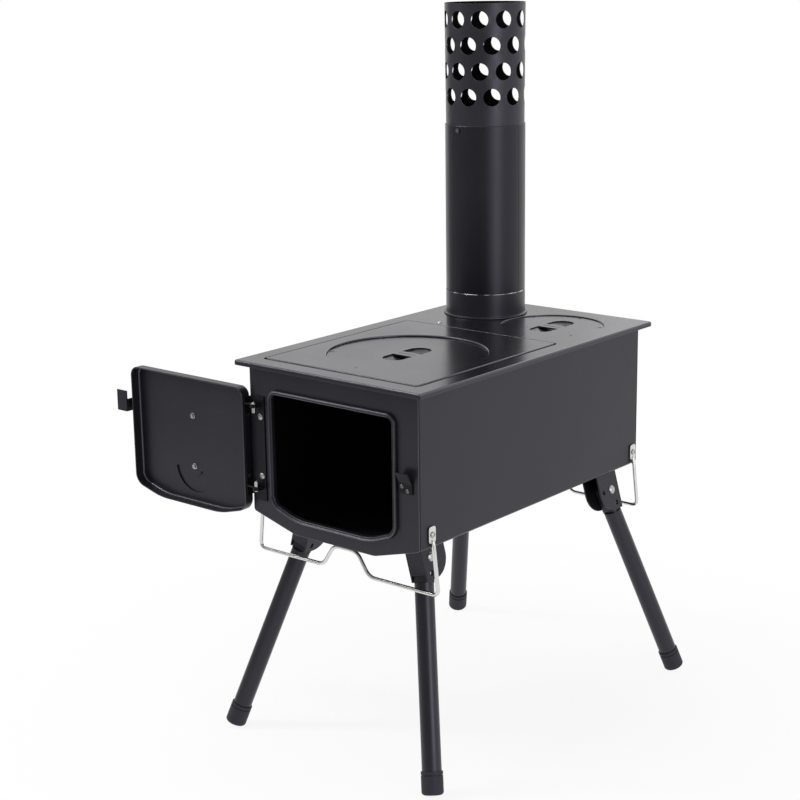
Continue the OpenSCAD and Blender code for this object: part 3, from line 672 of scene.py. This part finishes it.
def top_sheet():
    """The top with its edge folded down, its three openings and the seats under two of them."""
    bm = bmesh.new()
    closed_loop(bm, rectangle(TOP_LOW.x, TOP_LOW.y, TOP_HIGH.x, TOP_HIGH.y, TOP_Z), FOLD, FOLD_STEPS)
    closed_loop(bm, grown_cooktop(GROOVE, TOP_Z), COOKTOP_CORNER, 8)
    lid_centre, lid_radius = disc_of(SMALL_LID_LOW, SMALL_LID_HIGH, TOP_Z)
    ring_loop(bm, lid_centre, lid_radius + GAP)
    ring_loop(bm, (FLUE_CENTRE.x, FLUE_CENTRE.y, TOP_Z), COLLAR_RADIUS + COLLAR_GAP)
    fill_flat(bm)
    face_towards(bm, UP)
    rim = [edge for edge in bm.edges if edge.is_boundary]
    outside = [edge for edge in rim if is_outer(edge)]
    inside = [edge for edge in rim if not is_outer(edge)]
    pull_edges(bm, outside, UP * (TOP_LOW.z - TOP_Z))
    pull_edges(bm, inside, UP * -TOP_SHEET)
    # The rim's fold and the rounded mouths get the lighter edge paint, a painted highlight with scuffs
    soften(bm, RIM_ROUND, 5, rubbed=True,
           chosen=lambda edge: is_outer(edge) and edge.calc_face_angle(0) > FOLD_TURN)
    soften(bm, MOUTH_ROUND, 3, rubbed=True,
           chosen=lambda edge: not is_outer(edge) and edge.verts[0].co.z > TOP_Z - LEVEL)
    bmesh.ops.solidify(bm, geom=bm.faces[:], thickness=SHEET)
    soften(bm, RIM_FOOT_ROUND, 2, chosen=lambda edge: edge.verts[0].co.z < TOP_LOW.z + LEVEL)
    cooktop_seat = slab([
        (closed_loop, grown_cooktop(SEAT_LAP + GAP, PLATE_Z), COOKTOP_CORNER),
        (closed_loop, grown_cooktop(-SEAT_WIDTH, PLATE_Z), COOKTOP_CORNER),
    ], UP * -SEAT_SHEET)
    set_into(bm, cooktop_seat)
    set_into(bm, round_seat(lid_centre - UP * TOP_SHEET, lid_radius))
    stand_in("top_sheet", bm, TOP_BLACK, "top_frame")


def is_outer(edge):
    """Whether an edge lies on the outline of the top."""
    middle = (edge.verts[0].co + edge.verts[1].co) / 2
    across = max(abs(middle.x) - TOP_HIGH.x, middle.y - TOP_HIGH.y, TOP_LOW.y - middle.y)
    return across > -RIM_BAND


def disc_of(low, high, z):
    """Centre at height z and radius of a round lid, from its box."""
    middle = (low + high) / 2
    return Vector((middle.x, middle.y, z)), (high.y - low.y) / 2


def cooktop():
    """Lift-off plate with a round opening and the seat of the large lid."""
    centre, radius = disc_of(LARGE_LID_LOW, LARGE_LID_HIGH, COOKTOP_HIGH.z)
    thick = COOKTOP_HIGH.z - PLATE_Z
    # The plate's rounded edges get the lighter edge paint, a painted highlight with scuffs
    bm = slab([
        (closed_loop, grown_cooktop(GAP - GROOVE, COOKTOP_HIGH.z), COOKTOP_CORNER - GROOVE),
        (ring_loop, centre, radius + GAP, 128),
    ], UP * -thick, COOKTOP_ROUND, 3, rubbed=True)
    set_into(bm, round_seat(centre - UP * thick, radius))
    stand_in("cooktop", bm, TOP_BLACK, "cooktop_plate")


GRIP_WIDTH = 30 * MM
GRIP_LENGTH = 76 * MM
GRIP_BAR = 17 * MM
# A little under half the width keeps the two round corners apart
GRIP_CORNER = GRIP_WIDTH / 2 * 0.999
BAR_GROOVE_LENGTH = 26 * MM
BAR_GROOVE_WIDTH = 1.2 * MM
# Depths below the lid's face
BRIM_DEPTH = 0.8 * MM
BAR_DEPTH = 1.1 * MM
BRIM_REACH = 1.2 * MM
SLITS = 6
FIRST_SLIT = 28
SLIT_WIDTH = 2.2 * MM
# How far in from the lid's edge a slit begins and ends
SLIT_INNER = 7.6 * MM
SLIT_OUTER = 1.4 * MM


def finger_opening(bm, centre, side):
    """Adds the outline of one side of a finger grip: flat at the bar, round at the far end."""
    near = centre.y + side * GRIP_BAR / 2
    far = centre.y + side * GRIP_LENGTH / 2
    half = GRIP_WIDTH / 2
    corners = rectangle(centre.x - half, near, centre.x + half, far, centre.z)
    closed_loop(bm, corners, GRIP_CORNER, 14, sharp=(0, 1))


# The bowl under a finger grip, as (inward, downward) steps in millimetres from its brim
BOWL_STEPS = [(0.6, 0.4), (1.6, 0.8), (2.4, 0.9), (3.0, 0.8), (3.2, 0.5), (2.4, 0.2)]


def pressed_bowl(centre):
    """The shallow trough under both finger openings: two turned ends and a straight middle."""
    radius = GRIP_WIDTH / 2 + BRIM_REACH
    height = 0.0
    profile = [(radius, height)]
    for inward, lower in BOWL_STEPS:
        radius -= inward * MM
        height -= lower * MM
        profile.append((radius, height))
    profile.append((0, height))
    to_end = BACKWARD * (GRIP_LENGTH - GRIP_WIDTH) / 2
    bm = turned(profile, centre + to_end, 20, pi)
    set_into(bm, turned(profile, centre - to_end, 20, pi, pi))
    across = profile + [(-radius, height) for radius, height in reversed(profile[:-1])]
    middle = bmesh.new()
    verts = [middle.verts.new(centre - to_end + Vector((radius, 0, height))) for radius, height in across]
    pull_edges(middle, [middle.edges.new(pair) for pair in zip(verts, verts[1:])], 2 * to_end)
    set_into(bm, middle)
    join_points(bm)
    bm.normal_update()
    face_towards(bm, UP)
    bmesh.ops.solidify(bm, geom=bm.faces[:], thickness=PRESSED_SHEET)
    return bm


def centred_rectangle(centre, width, length):
    """Corners of a rectangle round a centre."""
    return rectangle(centre.x - width / 2, centre.y - length / 2,
                     centre.x + width / 2, centre.y + length / 2, centre.z)


def lid(name, low, high, sunk, node):
    """Round lid: two finger openings over a bowl, a grooved bar between them, and slits near its edge."""
    centre, radius = disc_of(low, high, high.z - sunk)
    thick = centre.z - PLATE_Z
    loops = [(ring_loop, centre, radius, 128)]
    loops += [(finger_opening, centre, side) for side in (-1, 1)]
    groove = centred_rectangle(centre, BAR_GROOVE_LENGTH, BAR_GROOVE_WIDTH)
    loops.append((closed_loop, groove, 0.4 * MM, 3))
    outline = rectangle(radius - SLIT_INNER, -SLIT_WIDTH / 2, radius - SLIT_OUTER, SLIT_WIDTH / 2, 0)
    for number in range(SLITS):
        turn = Matrix.Rotation(radians(FIRST_SLIT + number * 360 / SLITS), 3, "Z")
        slit = [centre + turn @ Vector(corner) for corner in outline]
        loops.append((closed_loop, slit, 0.5 * MM, 3))
    bm = slab(loops, UP * -thick)
    set_into(bm, pressed_bowl(centre - UP * BRIM_DEPTH))
    bar = centred_rectangle(centre - UP * BAR_DEPTH, GRIP_WIDTH, GRIP_BAR)
    set_into(bm, slab([(closed_loop, bar)], UP * -PRESSED_SHEET, 0.1 * MM))
    stand_in(name, bm, TOP_BLACK, node)


# ---- flue ----

COLLAR_RADIUS = 52.4 * MM
COLLAR_SHEET = 1.2 * MM
WORN_HEIGHT = 1.1 * MM
# The bead at the collar's foot, as (outward, upward) places in millimetres from the foot
COLLAR_BEAD = [(0.0, 0.0), (2.2, 0.0), (2.9, 0.7), (2.6, 1.7), (1.4, 2.4), (0.3, 2.5), (0.0, 3.2)]


def collar():
    """Collar on the top: a rolled bead at its foot, a straight socket and a worn upper edge."""
    inner = COLLAR_RADIUS - COLLAR_SHEET
    low, high = COLLAR_LOW.z, COLLAR_HIGH.z
    worn_z = high - WORN_HEIGHT
    profile = [(inner, low), (COLLAR_RADIUS, low)]
    profile += [(COLLAR_RADIUS + outward * MM, TOP_Z + upward * MM) for outward, upward in COLLAR_BEAD]
    profile += [(COLLAR_RADIUS, worn_z), (inner, worn_z), (inner, low)]
    # The collar's lighter paint is painted light
    stand_in("collar", turned(profile, FLUE_CENTRE), FLUE_BLACK_WITH_PAINTED_LIGHT, "flue_collar")
    foot = (COLLAR_RADIUS - 0.05 * MM, worn_z)
    edge = [foot, (COLLAR_RADIUS, high - 0.5 * MM), (COLLAR_RADIUS - 0.3 * MM, high),
            (inner + 0.1 * MM, high), (inner, worn_z), foot]
    finish_piece("collar_edge", turned(edge, FLUE_CENTRE), WORN_EDGE, "firebox")


PIPE_RADIUS = (PIPE_HIGH.y - PIPE_LOW.y) / 2
PIPE_WALL = 0.9 * MM
NECK_RADIUS = COLLAR_RADIUS - 1.6 * MM
SEAM_LAP = radians(7)
SEAM_AT = radians(6)
# The lap of the seam stands out of the pipe and reaches into its wall
SEAM_PROUD = 0.15 * MM
SEAM_ROOT = 0.3 * MM


def pipe():
    """Rolled pipe with a reduced lower end, a lapped seam up its side and a turned upper edge."""
    step_z = COLLAR_HIGH.z
    inner = PIPE_RADIUS - PIPE_WALL
    profile = [(NECK_RADIUS - PIPE_WALL, PIPE_LOW.z), (NECK_RADIUS, PIPE_LOW.z), (NECK_RADIUS, step_z)]
    profile += [(PIPE_RADIUS - 0.7 * MM, step_z + 0.02 * MM), (PIPE_RADIUS, step_z + 0.8 * MM)]
    profile += [(PIPE_RADIUS, PIPE_HIGH.z - 1.3 * MM), (PIPE_RADIUS - 0.2 * MM, PIPE_HIGH.z - 0.5 * MM),
                (PIPE_RADIUS - 0.7 * MM, PIPE_HIGH.z), (inner, PIPE_HIGH.z)]
    profile += [(inner, step_z + 2 * MM), (NECK_RADIUS - PIPE_WALL, step_z),
                (NECK_RADIUS - PIPE_WALL, PIPE_LOW.z)]
    bm = turned(profile, FLUE_CENTRE, 128)
    root, crest = PIPE_RADIUS - SEAM_ROOT, PIPE_RADIUS + SEAM_PROUD
    lap = [(root, step_z + 2 * MM), (crest, step_z + 2.2 * MM),
           (crest, PIPE_HIGH.z - 1.6 * MM), (root, PIPE_HIGH.z - 1.4 * MM)]
    seam = turned(lap, FLUE_CENTRE, 8, SEAM_LAP, SEAM_AT - SEAM_LAP / 2)
    bmesh.ops.holes_fill(seam, edges=[edge for edge in seam.edges if edge.is_boundary], sides=0)
    set_into(bm, seam)
    stand_in("pipe", bm, FLUE_BLACK, "flue_pipe")


def arrestor():
    """The perforated tube in its CAD shape, near-black inside as painted shade."""
    bm = bmesh.new()
    bm.from_mesh(nodes["spark_arrestor"].data)
    join_points(bm)
    # The arrestor's lighter paint outside is painted light
    piece = stand_in("arrestor", bm, FLUE_BLACK_WITH_PAINTED_LIGHT, "spark_arrestor")
    shade_inside(piece, FLUE_CENTRE, along=2)


# ---- door ----

AIR_OUTER = 33.5 * MM
AIR_INNER = 12 * MM
AIR_FROM = radians(186)
AIR_TURN = radians(154)
DOOR_KNEE = 12.3 * MM
DOOR_CHAMFER = 45 * MM
DOOR_CORNER = 12 * MM
DOOR_ROUND = 3.2 * MM


def air_opening(bm, centre):
    """Adds the closed outline of the ring-shaped air opening, standing in X and Z."""
    ends = []
    for radius in (AIR_INNER, AIR_OUTER):
        first = bm.verts.new(centre + Vector((cos(AIR_FROM), 0, sin(AIR_FROM))) * radius)
        last = bmesh.ops.spin(bm, geom=[first], cent=centre, axis=FORWARD, angle=AIR_TURN,
                              steps=24, use_merge=False)["geom_last"]
        ends.append((first, verts_of(last)[0]))
    bm.edges.new((ends[0][0], ends[1][0]))
    bm.edges.new((ends[0][1], ends[1][1]))


def spot(vert):
    """A vertex's place, rounded so that it can be found again."""
    return tuple(round(value, 6) for value in vert.co)


def door_pan():
    """Pressed pan with round corners, a turned edge and the air opening through it."""
    back_y, edge_y = DOOR_HIGH.y, DOOR_LOW.y
    left, right, low, high = DOOR_LOW.x, DOOR_HIGH.x, DOOR_LOW.z, DOOR_HIGH.z
    knee = low + DOOR_KNEE
    corners = [(left, back_y, high), (left, back_y, knee), (left + DOOR_CHAMFER, back_y, low),
               (right - DOOR_CHAMFER, back_y, low), (right, back_y, knee), (right, back_y, high)]
    bm = bmesh.new()
    outline = closed_loop(bm, corners, DOOR_CORNER, 10)
    pivot = JOINTS["damper_turn"]["pos_m"]
    air_opening(bm, Vector((pivot[0], back_y, pivot[2])))
    outer = {spot(vert) for edge in outline for vert in edge.verts}
    fill_flat(bm)
    face_towards(bm, BACKWARD)
    rim = [edge for edge in bm.edges if edge.is_boundary and all(spot(vert) in outer for vert in edge.verts)]
    pull_edges(bm, rim, BACKWARD * (edge_y - back_y))
    # The pan's folds and turned edge get the lighter edge paint, a painted highlight with scuffs
    soften(bm, DOOR_ROUND, 5, rubbed=True,
           chosen=lambda edge: all(vert.co.y > back_y - SAME for vert in edge.verts))
    bmesh.ops.solidify(bm, geom=bm.faces[:], thickness=SHEET)
    soften(bm, SLAB_ROUND, 2, chosen=lambda edge: edge.verts[0].co.y < edge_y + 10 * SAME, rubbed=True)
    stand_in("door_pan", bm, STOVE_BLACK, "door_panel", angle=40)


# ---- wire bails ----

WIRE = 2.4 * MM
BEND = 9 * MM
BEND_STEPS = 8
BAIL_DROP = 72 * MM
BAIL_SPREAD = 10 * MM
# The raised middle: half its width at foot and top, and its drop below the eyes
RISE_FOOT = 36 * MM
RISE_TOP = 18 * MM
RISE_DROP = 44.5 * MM
EYE_X = HALF_WIDTH + 1.4 * MM
EYE_THICK = 2 * MM
EYE_CORNER = 3.5 * MM
# Half the eye's width and height
EYE_REACH = (6 * MM, 10 * MM)


def wire_route(corners, bend):
    """Points along a line through corners, with each inner corner turned on a curve of about bend."""
    route = [Vector(corners[0])]
    for before, corner, after in zip(corners, corners[1:], corners[2:]):
        corner = Vector(corner)
        start = corner + (Vector(before) - corner).normalized() * bend
        end = corner + (Vector(after) - corner).normalized() * bend
        for step in range(BEND_STEPS + 1):
            share = step / BEND_STEPS
            route.append(start * (1 - share) ** 2 + corner * 2 * share * (1 - share) + end * share ** 2)
    route.append(Vector(corners[-1]))
    return route


def bail(name, node):
    """One bent wire with flattened eyes that hangs from two rivets."""
    axis = Vector(JOINTS[node + "_swing"]["pos_m"])
    y, z = axis.y, axis.z
    side = [(EYE_X + EYE_THICK / 2, y, z - 7 * MM), (HALF_WIDTH + 3.6 * MM, y, z - 14 * MM),
            (HALF_WIDTH + BAIL_SPREAD, y, z - BAIL_DROP), (RISE_FOOT, y, z - BAIL_DROP),
            (RISE_TOP, y, z - RISE_DROP)]
    route = wire_route(side + [(-x, y, z) for x, y, z in reversed(side)], BEND)
    curve = bpy.data.curves.new(name, "CURVE")
    curve.dimensions = "3D"
    curve.bevel_depth = WIRE
    curve.bevel_resolution = 5
    curve.use_fill_caps = True
    spline = curve.splines.new("POLY")
    spline.points.add(len(route) - 1)
    for point, place in zip(spline.points, route):
        point.co = (*place, 1)
    holder = bpy.data.objects.new(name, curve)
    bm = bmesh.new()
    mesh = holder.to_mesh()
    bm.from_mesh(mesh)
    holder.to_mesh_clear()
    bpy.data.objects.remove(holder)
    bpy.data.curves.remove(curve)
    along, up = EYE_REACH
    for x in (-EYE_X - EYE_THICK / 2, EYE_X - EYE_THICK / 2):
        eye = [(x, y - along, z - up), (x, y + along, z - up), (x, y + along, z + up), (x, y - along, z + up)]
        set_into(bm, slab([(closed_loop, eye, EYE_CORNER, 6)], Vector((EYE_THICK, 0, 0)), 0.5 * MM))
    stand_in(name, bm, STAINLESS, node, angle=50)


# ---- screws, nuts, rivets and pins ----

PIN_RADIUS = 2.5 * MM
THIN_PIN_RADIUS = 1.5 * MM
BOLT_RADIUS = 3 * MM
WASHER_SHEET = 0.5 * MM
# Domed heads: radius, height and the radius of the washer under them
DOOR_SCREW_HEAD = (3.6 * MM, 1.7 * MM, 4.4 * MM)
HINGE_SCREW_HEAD = (3.1 * MM, 1.4 * MM, 3.9 * MM)
HINGE_PIN_HEAD = (3.0 * MM, 1.3 * MM, 3.8 * MM)
HINGE_PIN_TIP = (2.0 * MM, 0.7 * MM, 2.5 * MM)
KEEPER_RIVET_HEAD = (1.9 * MM, 0.7 * MM, 2.5 * MM)
BAIL_RIVET_HEAD = (3.0 * MM, 1.2 * MM, 3.8 * MM)
LEG_BOLT_HEAD = (4.9 * MM, 1.6 * MM, 5.6 * MM)
BUTTON_HEAD = (2.7 * MM, 0.4 * MM, 2.9 * MM)
# Nuts: radius, height and the radius of the bolt's end
DOOR_NUT = (3.1 * MM, 2.0 * MM, 1.6 * MM)
LEG_NUT = (5 * MM, 2.4 * MM, 2.6 * MM)
# Half widths over a fork and its lock buttons, and the buttons' distance from the bolt
FORK_HALF = 12.5 * MM
BUTTON_HALF = 9.4 * MM
BUTTON_DOWN = 19 * MM


def rod(bm, start, end, radius):
    """Adds a round rod between two points."""
    start, end = Vector(start), Vector(end)
    part = bmesh.new()
    bmesh.ops.create_cone(part, cap_ends=True, segments=20, radius1=radius, radius2=radius,
                          depth=(end - start).length)
    set_into(bm, placed(part, (start + end) / 2, end - start))


def dome(bm, place, direction, radius, height, washer, socket=True):
    """Adds a domed head on a washer, with or without a socket in its crown."""
    sheet = WASHER_SHEET
    top = sheet + height
    profile = [(0, 0), (washer, 0), (washer, 0.7 * sheet), (washer - 0.4 * sheet, sheet), (radius, sheet),
               (radius, sheet + 0.3 * height), (0.86 * radius, sheet + 0.7 * height), (0.6 * radius, top)]
    if socket:
        profile += [(0.46 * radius, top), (0.38 * radius, sheet + 0.4 * height), (0, sheet + 0.3 * height)]
    else:
        profile += [(0.3 * radius, top), (0, top)]
    set_into(bm, placed(turned(profile, (0, 0, 0), 24), place, direction))


def nut(bm, place, direction, radius, height, end_radius):
    """Adds a hexagon nut on a washer, with the end of its bolt standing out of it."""
    part = bmesh.new()
    bmesh.ops.create_cone(part, cap_ends=True, segments=6, radius1=radius, radius2=radius, depth=height,
                          matrix=Matrix.Translation((0, 0, height / 2 + WASHER_SHEET)))
    soften(part, 0.35 * MM)
    reach = height + 1.6 * MM
    end = [(0, 0), (end_radius, 0), (end_radius, reach - 0.5 * MM), (end_radius - 0.5 * MM, reach),
           (0.5 * end_radius, reach), (0.4 * end_radius, reach - 0.8 * MM), (0, reach - 0.8 * MM)]
    set_into(part, turned(end, (0, 0, 0), 20))
    washer = 1.22 * radius
    sheet = WASHER_SHEET
    flat = [(0, 0), (washer, 0), (washer, 0.7 * sheet), (washer - 0.4 * sheet, sheet), (0, sheet)]
    set_into(part, turned(flat, (0, 0, 0), 28))
    set_into(bm, placed(part, place, direction))


def door_screw(node, joint):
    """Pivot screw through the door: domed head outside, nut and bolt end inside."""
    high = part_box(node)[1]
    pivot = Vector(JOINTS[joint]["pos_m"])
    inner, outer = DOOR_HIGH.y - SHEET, high.y - 2.2 * MM
    bm = bmesh.new()
    rod(bm, (pivot.x, inner, pivot.z), (pivot.x, outer, pivot.z), PIN_RADIUS)
    nut(bm, (pivot.x, inner, pivot.z), FORWARD, *DOOR_NUT)
    dome(bm, (pivot.x, outer, pivot.z), BACKWARD, *DOOR_SCREW_HEAD)
    stand_in(node + "_made", bm, ZINC, node)


def hinge_screw_pair():
    """The two screws that hold the hinge bracket."""
    low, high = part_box("hinge_screws")
    x, plate_y = (low.x + high.x) / 2, -1.5 * MM
    bm = bmesh.new()
    for z in (low.z + 4 * MM, high.z - 4 * MM):
        rod(bm, (x, plate_y, z), (x, high.y, z), THIN_PIN_RADIUS)
        dome(bm, (x, plate_y, z), FORWARD, *HINGE_SCREW_HEAD)
    stand_in("hinge_screw_pair", bm, ZINC, "hinge_screws")


def hinge_pin_pair():
    """Two pivot pins whose long ends point towards each other."""
    low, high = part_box("hinge_pins")
    x, y = (low.x + high.x) / 2, (low.y + high.y) / 2
    bm = bmesh.new()
    upper, lower = high.z - 6.5 * MM, low.z + 4 * MM
    pins = [(upper + 4.4 * MM, upper - 6 * MM, UP), (lower - 0.2 * MM, lower + 10 * MM, -UP)]
    for head_z, end_z, outward in pins:
        rod(bm, (x, y, head_z), (x, y, end_z), PIN_RADIUS)
        dome(bm, (x, y, end_z), -outward, *HINGE_PIN_TIP)
        dome(bm, (x, y, head_z), outward, *HINGE_PIN_HEAD)
    stand_in("hinge_pin_pair", bm, ZINC, "hinge_pins")


def keeper_rivet_pair():
    """The two rivets of the latch keeper, at opposite corners of their box."""
    low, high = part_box("keeper_rivets")
    head = 2.6 * MM
    bm = bmesh.new()
    for x, z in ((low.x + head, high.z - head), (high.x - head, low.z + head)):
        rod(bm, (x, -2 * MM, z), (x, high.y, z), THIN_PIN_RADIUS)
        dome(bm, (x, -2 * MM, z), FORWARD, *KEEPER_RIVET_HEAD)
    stand_in("keeper_rivet_pair", bm, BLACKENED, "keeper_rivets")


def bail_rivet_set():
    """The four rivets that the bails hang from, headed inside and out."""
    outer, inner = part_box("bail_rivets")[1].x - 1.8 * MM, HALF_WIDTH - SHEET
    bm = bmesh.new()
    for joint in ("front_bail_swing", "rear_bail_swing"):
        y, z = JOINTS[joint]["pos_m"][1:]
        for side in (-1, 1):
            rod(bm, (side * (inner - 2 * MM), y, z), (side * outer, y, z), PIN_RADIUS)
            dome(bm, (side * outer, y, z), (side, 0, 0), *BAIL_RIVET_HEAD)
            dome(bm, (side * inner, y, z), (-side, 0, 0), *BAIL_RIVET_HEAD)
    stand_in("bail_rivet_set", bm, ZINC, "bail_rivets")


def leg_corners():
    """For each leg: its name, its bolt's centre and outward direction, and the leg's own direction."""
    for row in ("front", "rear"):
        for side in ("right", "left"):
            name = f"{row}_{side}"
            joint = JOINTS[name + "_leg_fold"]
            centre, out = Vector(joint["pos_m"]), Vector(joint["axis"]).normalized()
            if out.x * centre.x < 0:
                out = -out
            tube_low, tube_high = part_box(name + "_tube")
            yield name, centre, out, ((tube_low + tube_high) / 2 - centre).normalized()


def leg_hardware():
    """The bolts that the legs turn on, and the round buttons that lock them."""
    bolts = bmesh.new()
    for name, centre, out, down in leg_corners():
        rod(bolts, centre - out * FORK_HALF, centre + out * FORK_HALF, BOLT_RADIUS)
        dome(bolts, centre + out * FORK_HALF, out, *LEG_BOLT_HEAD, socket=False)
        nut(bolts, centre - out * FORK_HALF, -out, *LEG_NUT)
        button = bmesh.new()
        place = centre + down * BUTTON_DOWN
        rod(button, place - out * BUTTON_HALF, place + out * BUTTON_HALF, PIN_RADIUS)
        for outward in (-out, out):
            dome(button, place + outward * BUTTON_HALF, outward, *BUTTON_HEAD, socket=False)
        stand_in(name + "_button", button, ZINC, name + "_lock")
    stand_in("leg_bolt_set", bolts, ZINC, "leg_bolts")


# ---- stage ----

WHITE = (1, 1, 1, 1)
CAMERA_AZIMUTH = radians(39.8452)
CAMERA_ELEVATION = radians(14.2542)
CAMERA_ROLL = radians(-0.8437)
CAMERA_AT = Vector((1.3047, -1.4418, 0.9420))
CAMERA_LENS = 78.585
CAMERA_SHIFT = (0.0021, -0.0070)


def camera():
    """The photograph's viewpoint."""
    back = Vector((sin(CAMERA_AZIMUTH) * cos(CAMERA_ELEVATION),
                   -cos(CAMERA_AZIMUTH) * cos(CAMERA_ELEVATION), sin(CAMERA_ELEVATION)))
    level = Vector((cos(CAMERA_AZIMUTH), sin(CAMERA_AZIMUTH), 0))
    upright = back.cross(level)
    right = level * cos(CAMERA_ROLL) + upright * sin(CAMERA_ROLL)
    up = back.cross(right)
    data = bpy.data.cameras.new("camera")
    data.lens = CAMERA_LENS
    data.sensor_width = 36
    data.shift_x, data.shift_y = CAMERA_SHIFT
    data.clip_start, data.clip_end = 0.01, 60
    obj = new_object("camera", data)
    obj.matrix_world = Matrix((right, up, back)).transposed().to_4x4()
    obj.location = CAMERA_AT
    bpy.context.scene.camera = obj


def soft_box(name, place, target, size, power):
    """An area lamp of width and height size at place, turned to target, with its power in watts."""
    light = bpy.data.lights.new(name, "AREA")
    light.shape = "RECTANGLE"
    light.size, light.size_y = size
    light.energy = power
    obj = new_object(name, light)
    obj.location = place
    obj.rotation_euler = (Vector(target) - Vector(place)).to_track_quat("-Z", "Y").to_euler()


def lights():
    """Key, fill, a strip for the edges, and light from above and behind."""
    soft_box("key", (2.3, -0.5, 0.95), (0, 0.2, 0.45), (1.0, 1.8), 13)
    soft_box("front fill", (-1.5, -2.5, 2.3), (0, 0.1, 0.4), (1.6, 1.6), 10)
    soft_box("edge strip", (-1.55, -0.95, 1.9), (0, 0, 0.4), (0.3, 1.4), 32)
    soft_box("overhead", (-0.2, 0.6, 2.8), (0, 0.2, 0.4), (2.2, 2.2), 10)
    soft_box("back", (-0.6, 3.0, 2.0), (0, 0.2, 0.5), (2.0, 1.6), 8)


CURTAIN_REACH = 1.45
CURTAIN_HEIGHT = 2.0
CURTAIN_FROM = radians(-110)
CURTAIN_TURN = radians(165)
CURTAIN_GLOW = 0.36


def dim_curtain():
    """A dim curtain on the door side, which only the gloss of the paint and the metal sees."""
    foot = Vector((sin(CURTAIN_FROM), -cos(CURTAIN_FROM), 0)) * CURTAIN_REACH
    bm = bmesh.new()
    edge = bm.edges.new((bm.verts.new(foot), bm.verts.new(foot + UP * CURTAIN_HEIGHT)))
    bmesh.ops.spin(bm, geom=[*edge.verts, edge], cent=(0, 0, 0), axis=UP, angle=CURTAIN_TURN,
                   steps=48, use_merge=False)
    mesh = mesh_of("dim_curtain", bm)
    material = bpy.data.materials.new("dim cloth")
    tree = bare_tree(material)
    glow = add_node(tree, "Emission", Color=WHITE, Strength=CURTAIN_GLOW)
    link_into(tree, "OutputMaterial", glow.outputs[0])
    mesh.materials.append(material)
    obj = new_object("dim_curtain", mesh)
    obj.visible_camera = obj.visible_diffuse = obj.visible_transmission = obj.visible_shadow = False


def seen_directly(tree):
    """1 for camera, glossy and transmission rays."""
    path = add_node(tree, "LightPath").outputs
    seen = math_node(tree, "MAXIMUM", path["Is Camera Ray"], path["Is Glossy Ray"])
    return math_node(tree, "MAXIMUM", seen, path["Is Transmission Ray"])


PLAIN_LIGHT = 0.45


def surroundings():
    """White where it is seen, and a level grey-white light elsewhere."""
    world = bpy.data.worlds.new("studio")
    bpy.context.scene.world = world
    tree = bare_tree(world)
    plain = add_node(tree, "Background", Color=WHITE, Strength=PLAIN_LIGHT)
    white = add_node(tree, "Background", Color=WHITE, Strength=1.0)
    mix = link_into(tree, "MixShader", seen_directly(tree), plain.outputs[0], white.outputs[0])
    link_into(tree, "OutputWorld", mix.outputs[0])


FLOOR_CENTRE = (0, 0.2, 0)
FLOOR_RADIUS = 6
# Where the floor's fade begins and ends, and its whiteness there
FLOOR_FADE = (0.2, 0.7)
FLOOR_WHITE = (0.87, 1.0)


def floor():
    """A pale floor that keeps the stove's shadow and fades to white away from it."""
    bm = bmesh.new()
    bmesh.ops.create_circle(bm, cap_ends=True, radius=FLOOR_RADIUS, segments=64,
                            matrix=Matrix.Translation(FLOOR_CENTRE))
    mesh = mesh_of("floor", bm)
    material, tree, shader = new_material("pale floor")
    shader.inputs["Base Color"].default_value = (0.86, 0.86, 0.86, 1)
    shader.inputs["Roughness"].default_value = 0.9
    glow = add_node(tree, "Emission", Color=WHITE, Strength=1.0)
    place = add_node(tree, "TexCoord").outputs["Object"]
    centred = add_node(tree, "VectorMath")
    centred.operation = "DISTANCE"
    tree.links.new(place, centred.inputs[0])
    centred.inputs[1].default_value = FLOOR_CENTRE
    fade = map_range(tree, centred.outputs["Value"], FLOOR_FADE, FLOOR_WHITE)
    factor = math_node(tree, "MULTIPLY", fade, seen_directly(tree))
    mix = link_into(tree, "MixShader", factor, shader.outputs[0], glow.outputs[0])
    output = [node for node in tree.nodes if node.type == "OUTPUT_MATERIAL"][0]
    tree.links.new(mix.outputs[0], output.inputs[0])
    mesh.materials.append(material)
    obj = new_object("floor", mesh)


# ---- making ----

camera()
lights()
dim_curtain()
surroundings()
floor()
bpy.context.scene.view_settings.view_transform = "Standard"

firebox_sheet()
front_sheet()
back_sheet()
top_sheet()
cooktop()
lid("lid_large", LARGE_LID_LOW, LARGE_LID_HIGH, LARGE_LID_SUNK, "large_lid")
lid("lid_small", SMALL_LID_LOW, SMALL_LID_HIGH, SMALL_LID_SUNK, "small_lid")
collar()
pipe()
arrestor()
door_pan()
bail("wire_bail_front", "front_bail")
bail("wire_bail_rear", "rear_bail")
door_screw("latch_screw", "latch_turn")
door_screw("damper_screw", "damper_turn")
hinge_screw_pair()
hinge_pin_pair()
keeper_rivet_pair()
bail_rivet_set()
leg_hardware()

FINE = 0.35 * MM
FORK_ROUND = 0.6 * MM
for node in ("latch_lever", "damper_disc"):
    rounded_copy(node, FINE)
for node in ("hinge_bracket", "door_leaf", "latch_keeper"):
    rounded_copy(node, FINE, HINGE_BLACK)
for name, *_ in leg_corners():
    rounded_copy(name + "_bracket", FINE)
    rounded_copy(name + "_fork", FORK_ROUND, LEG_BLACK)

CAD_FINISH = {"leaf_rivets": BLACKENED, "arrestor_screw": BLACKENED}
for name, obj in nodes.items():
    if obj.hide_render:
        continue
    finish = CAD_FINISH.get(name, FINISH_OF_SLOT[SLOT_OF_NODE[name]])
    if name.endswith("_tube"):
        finish = LEG_BLACK
    obj.data.materials.clear()
    obj.data.materials.append(finish)
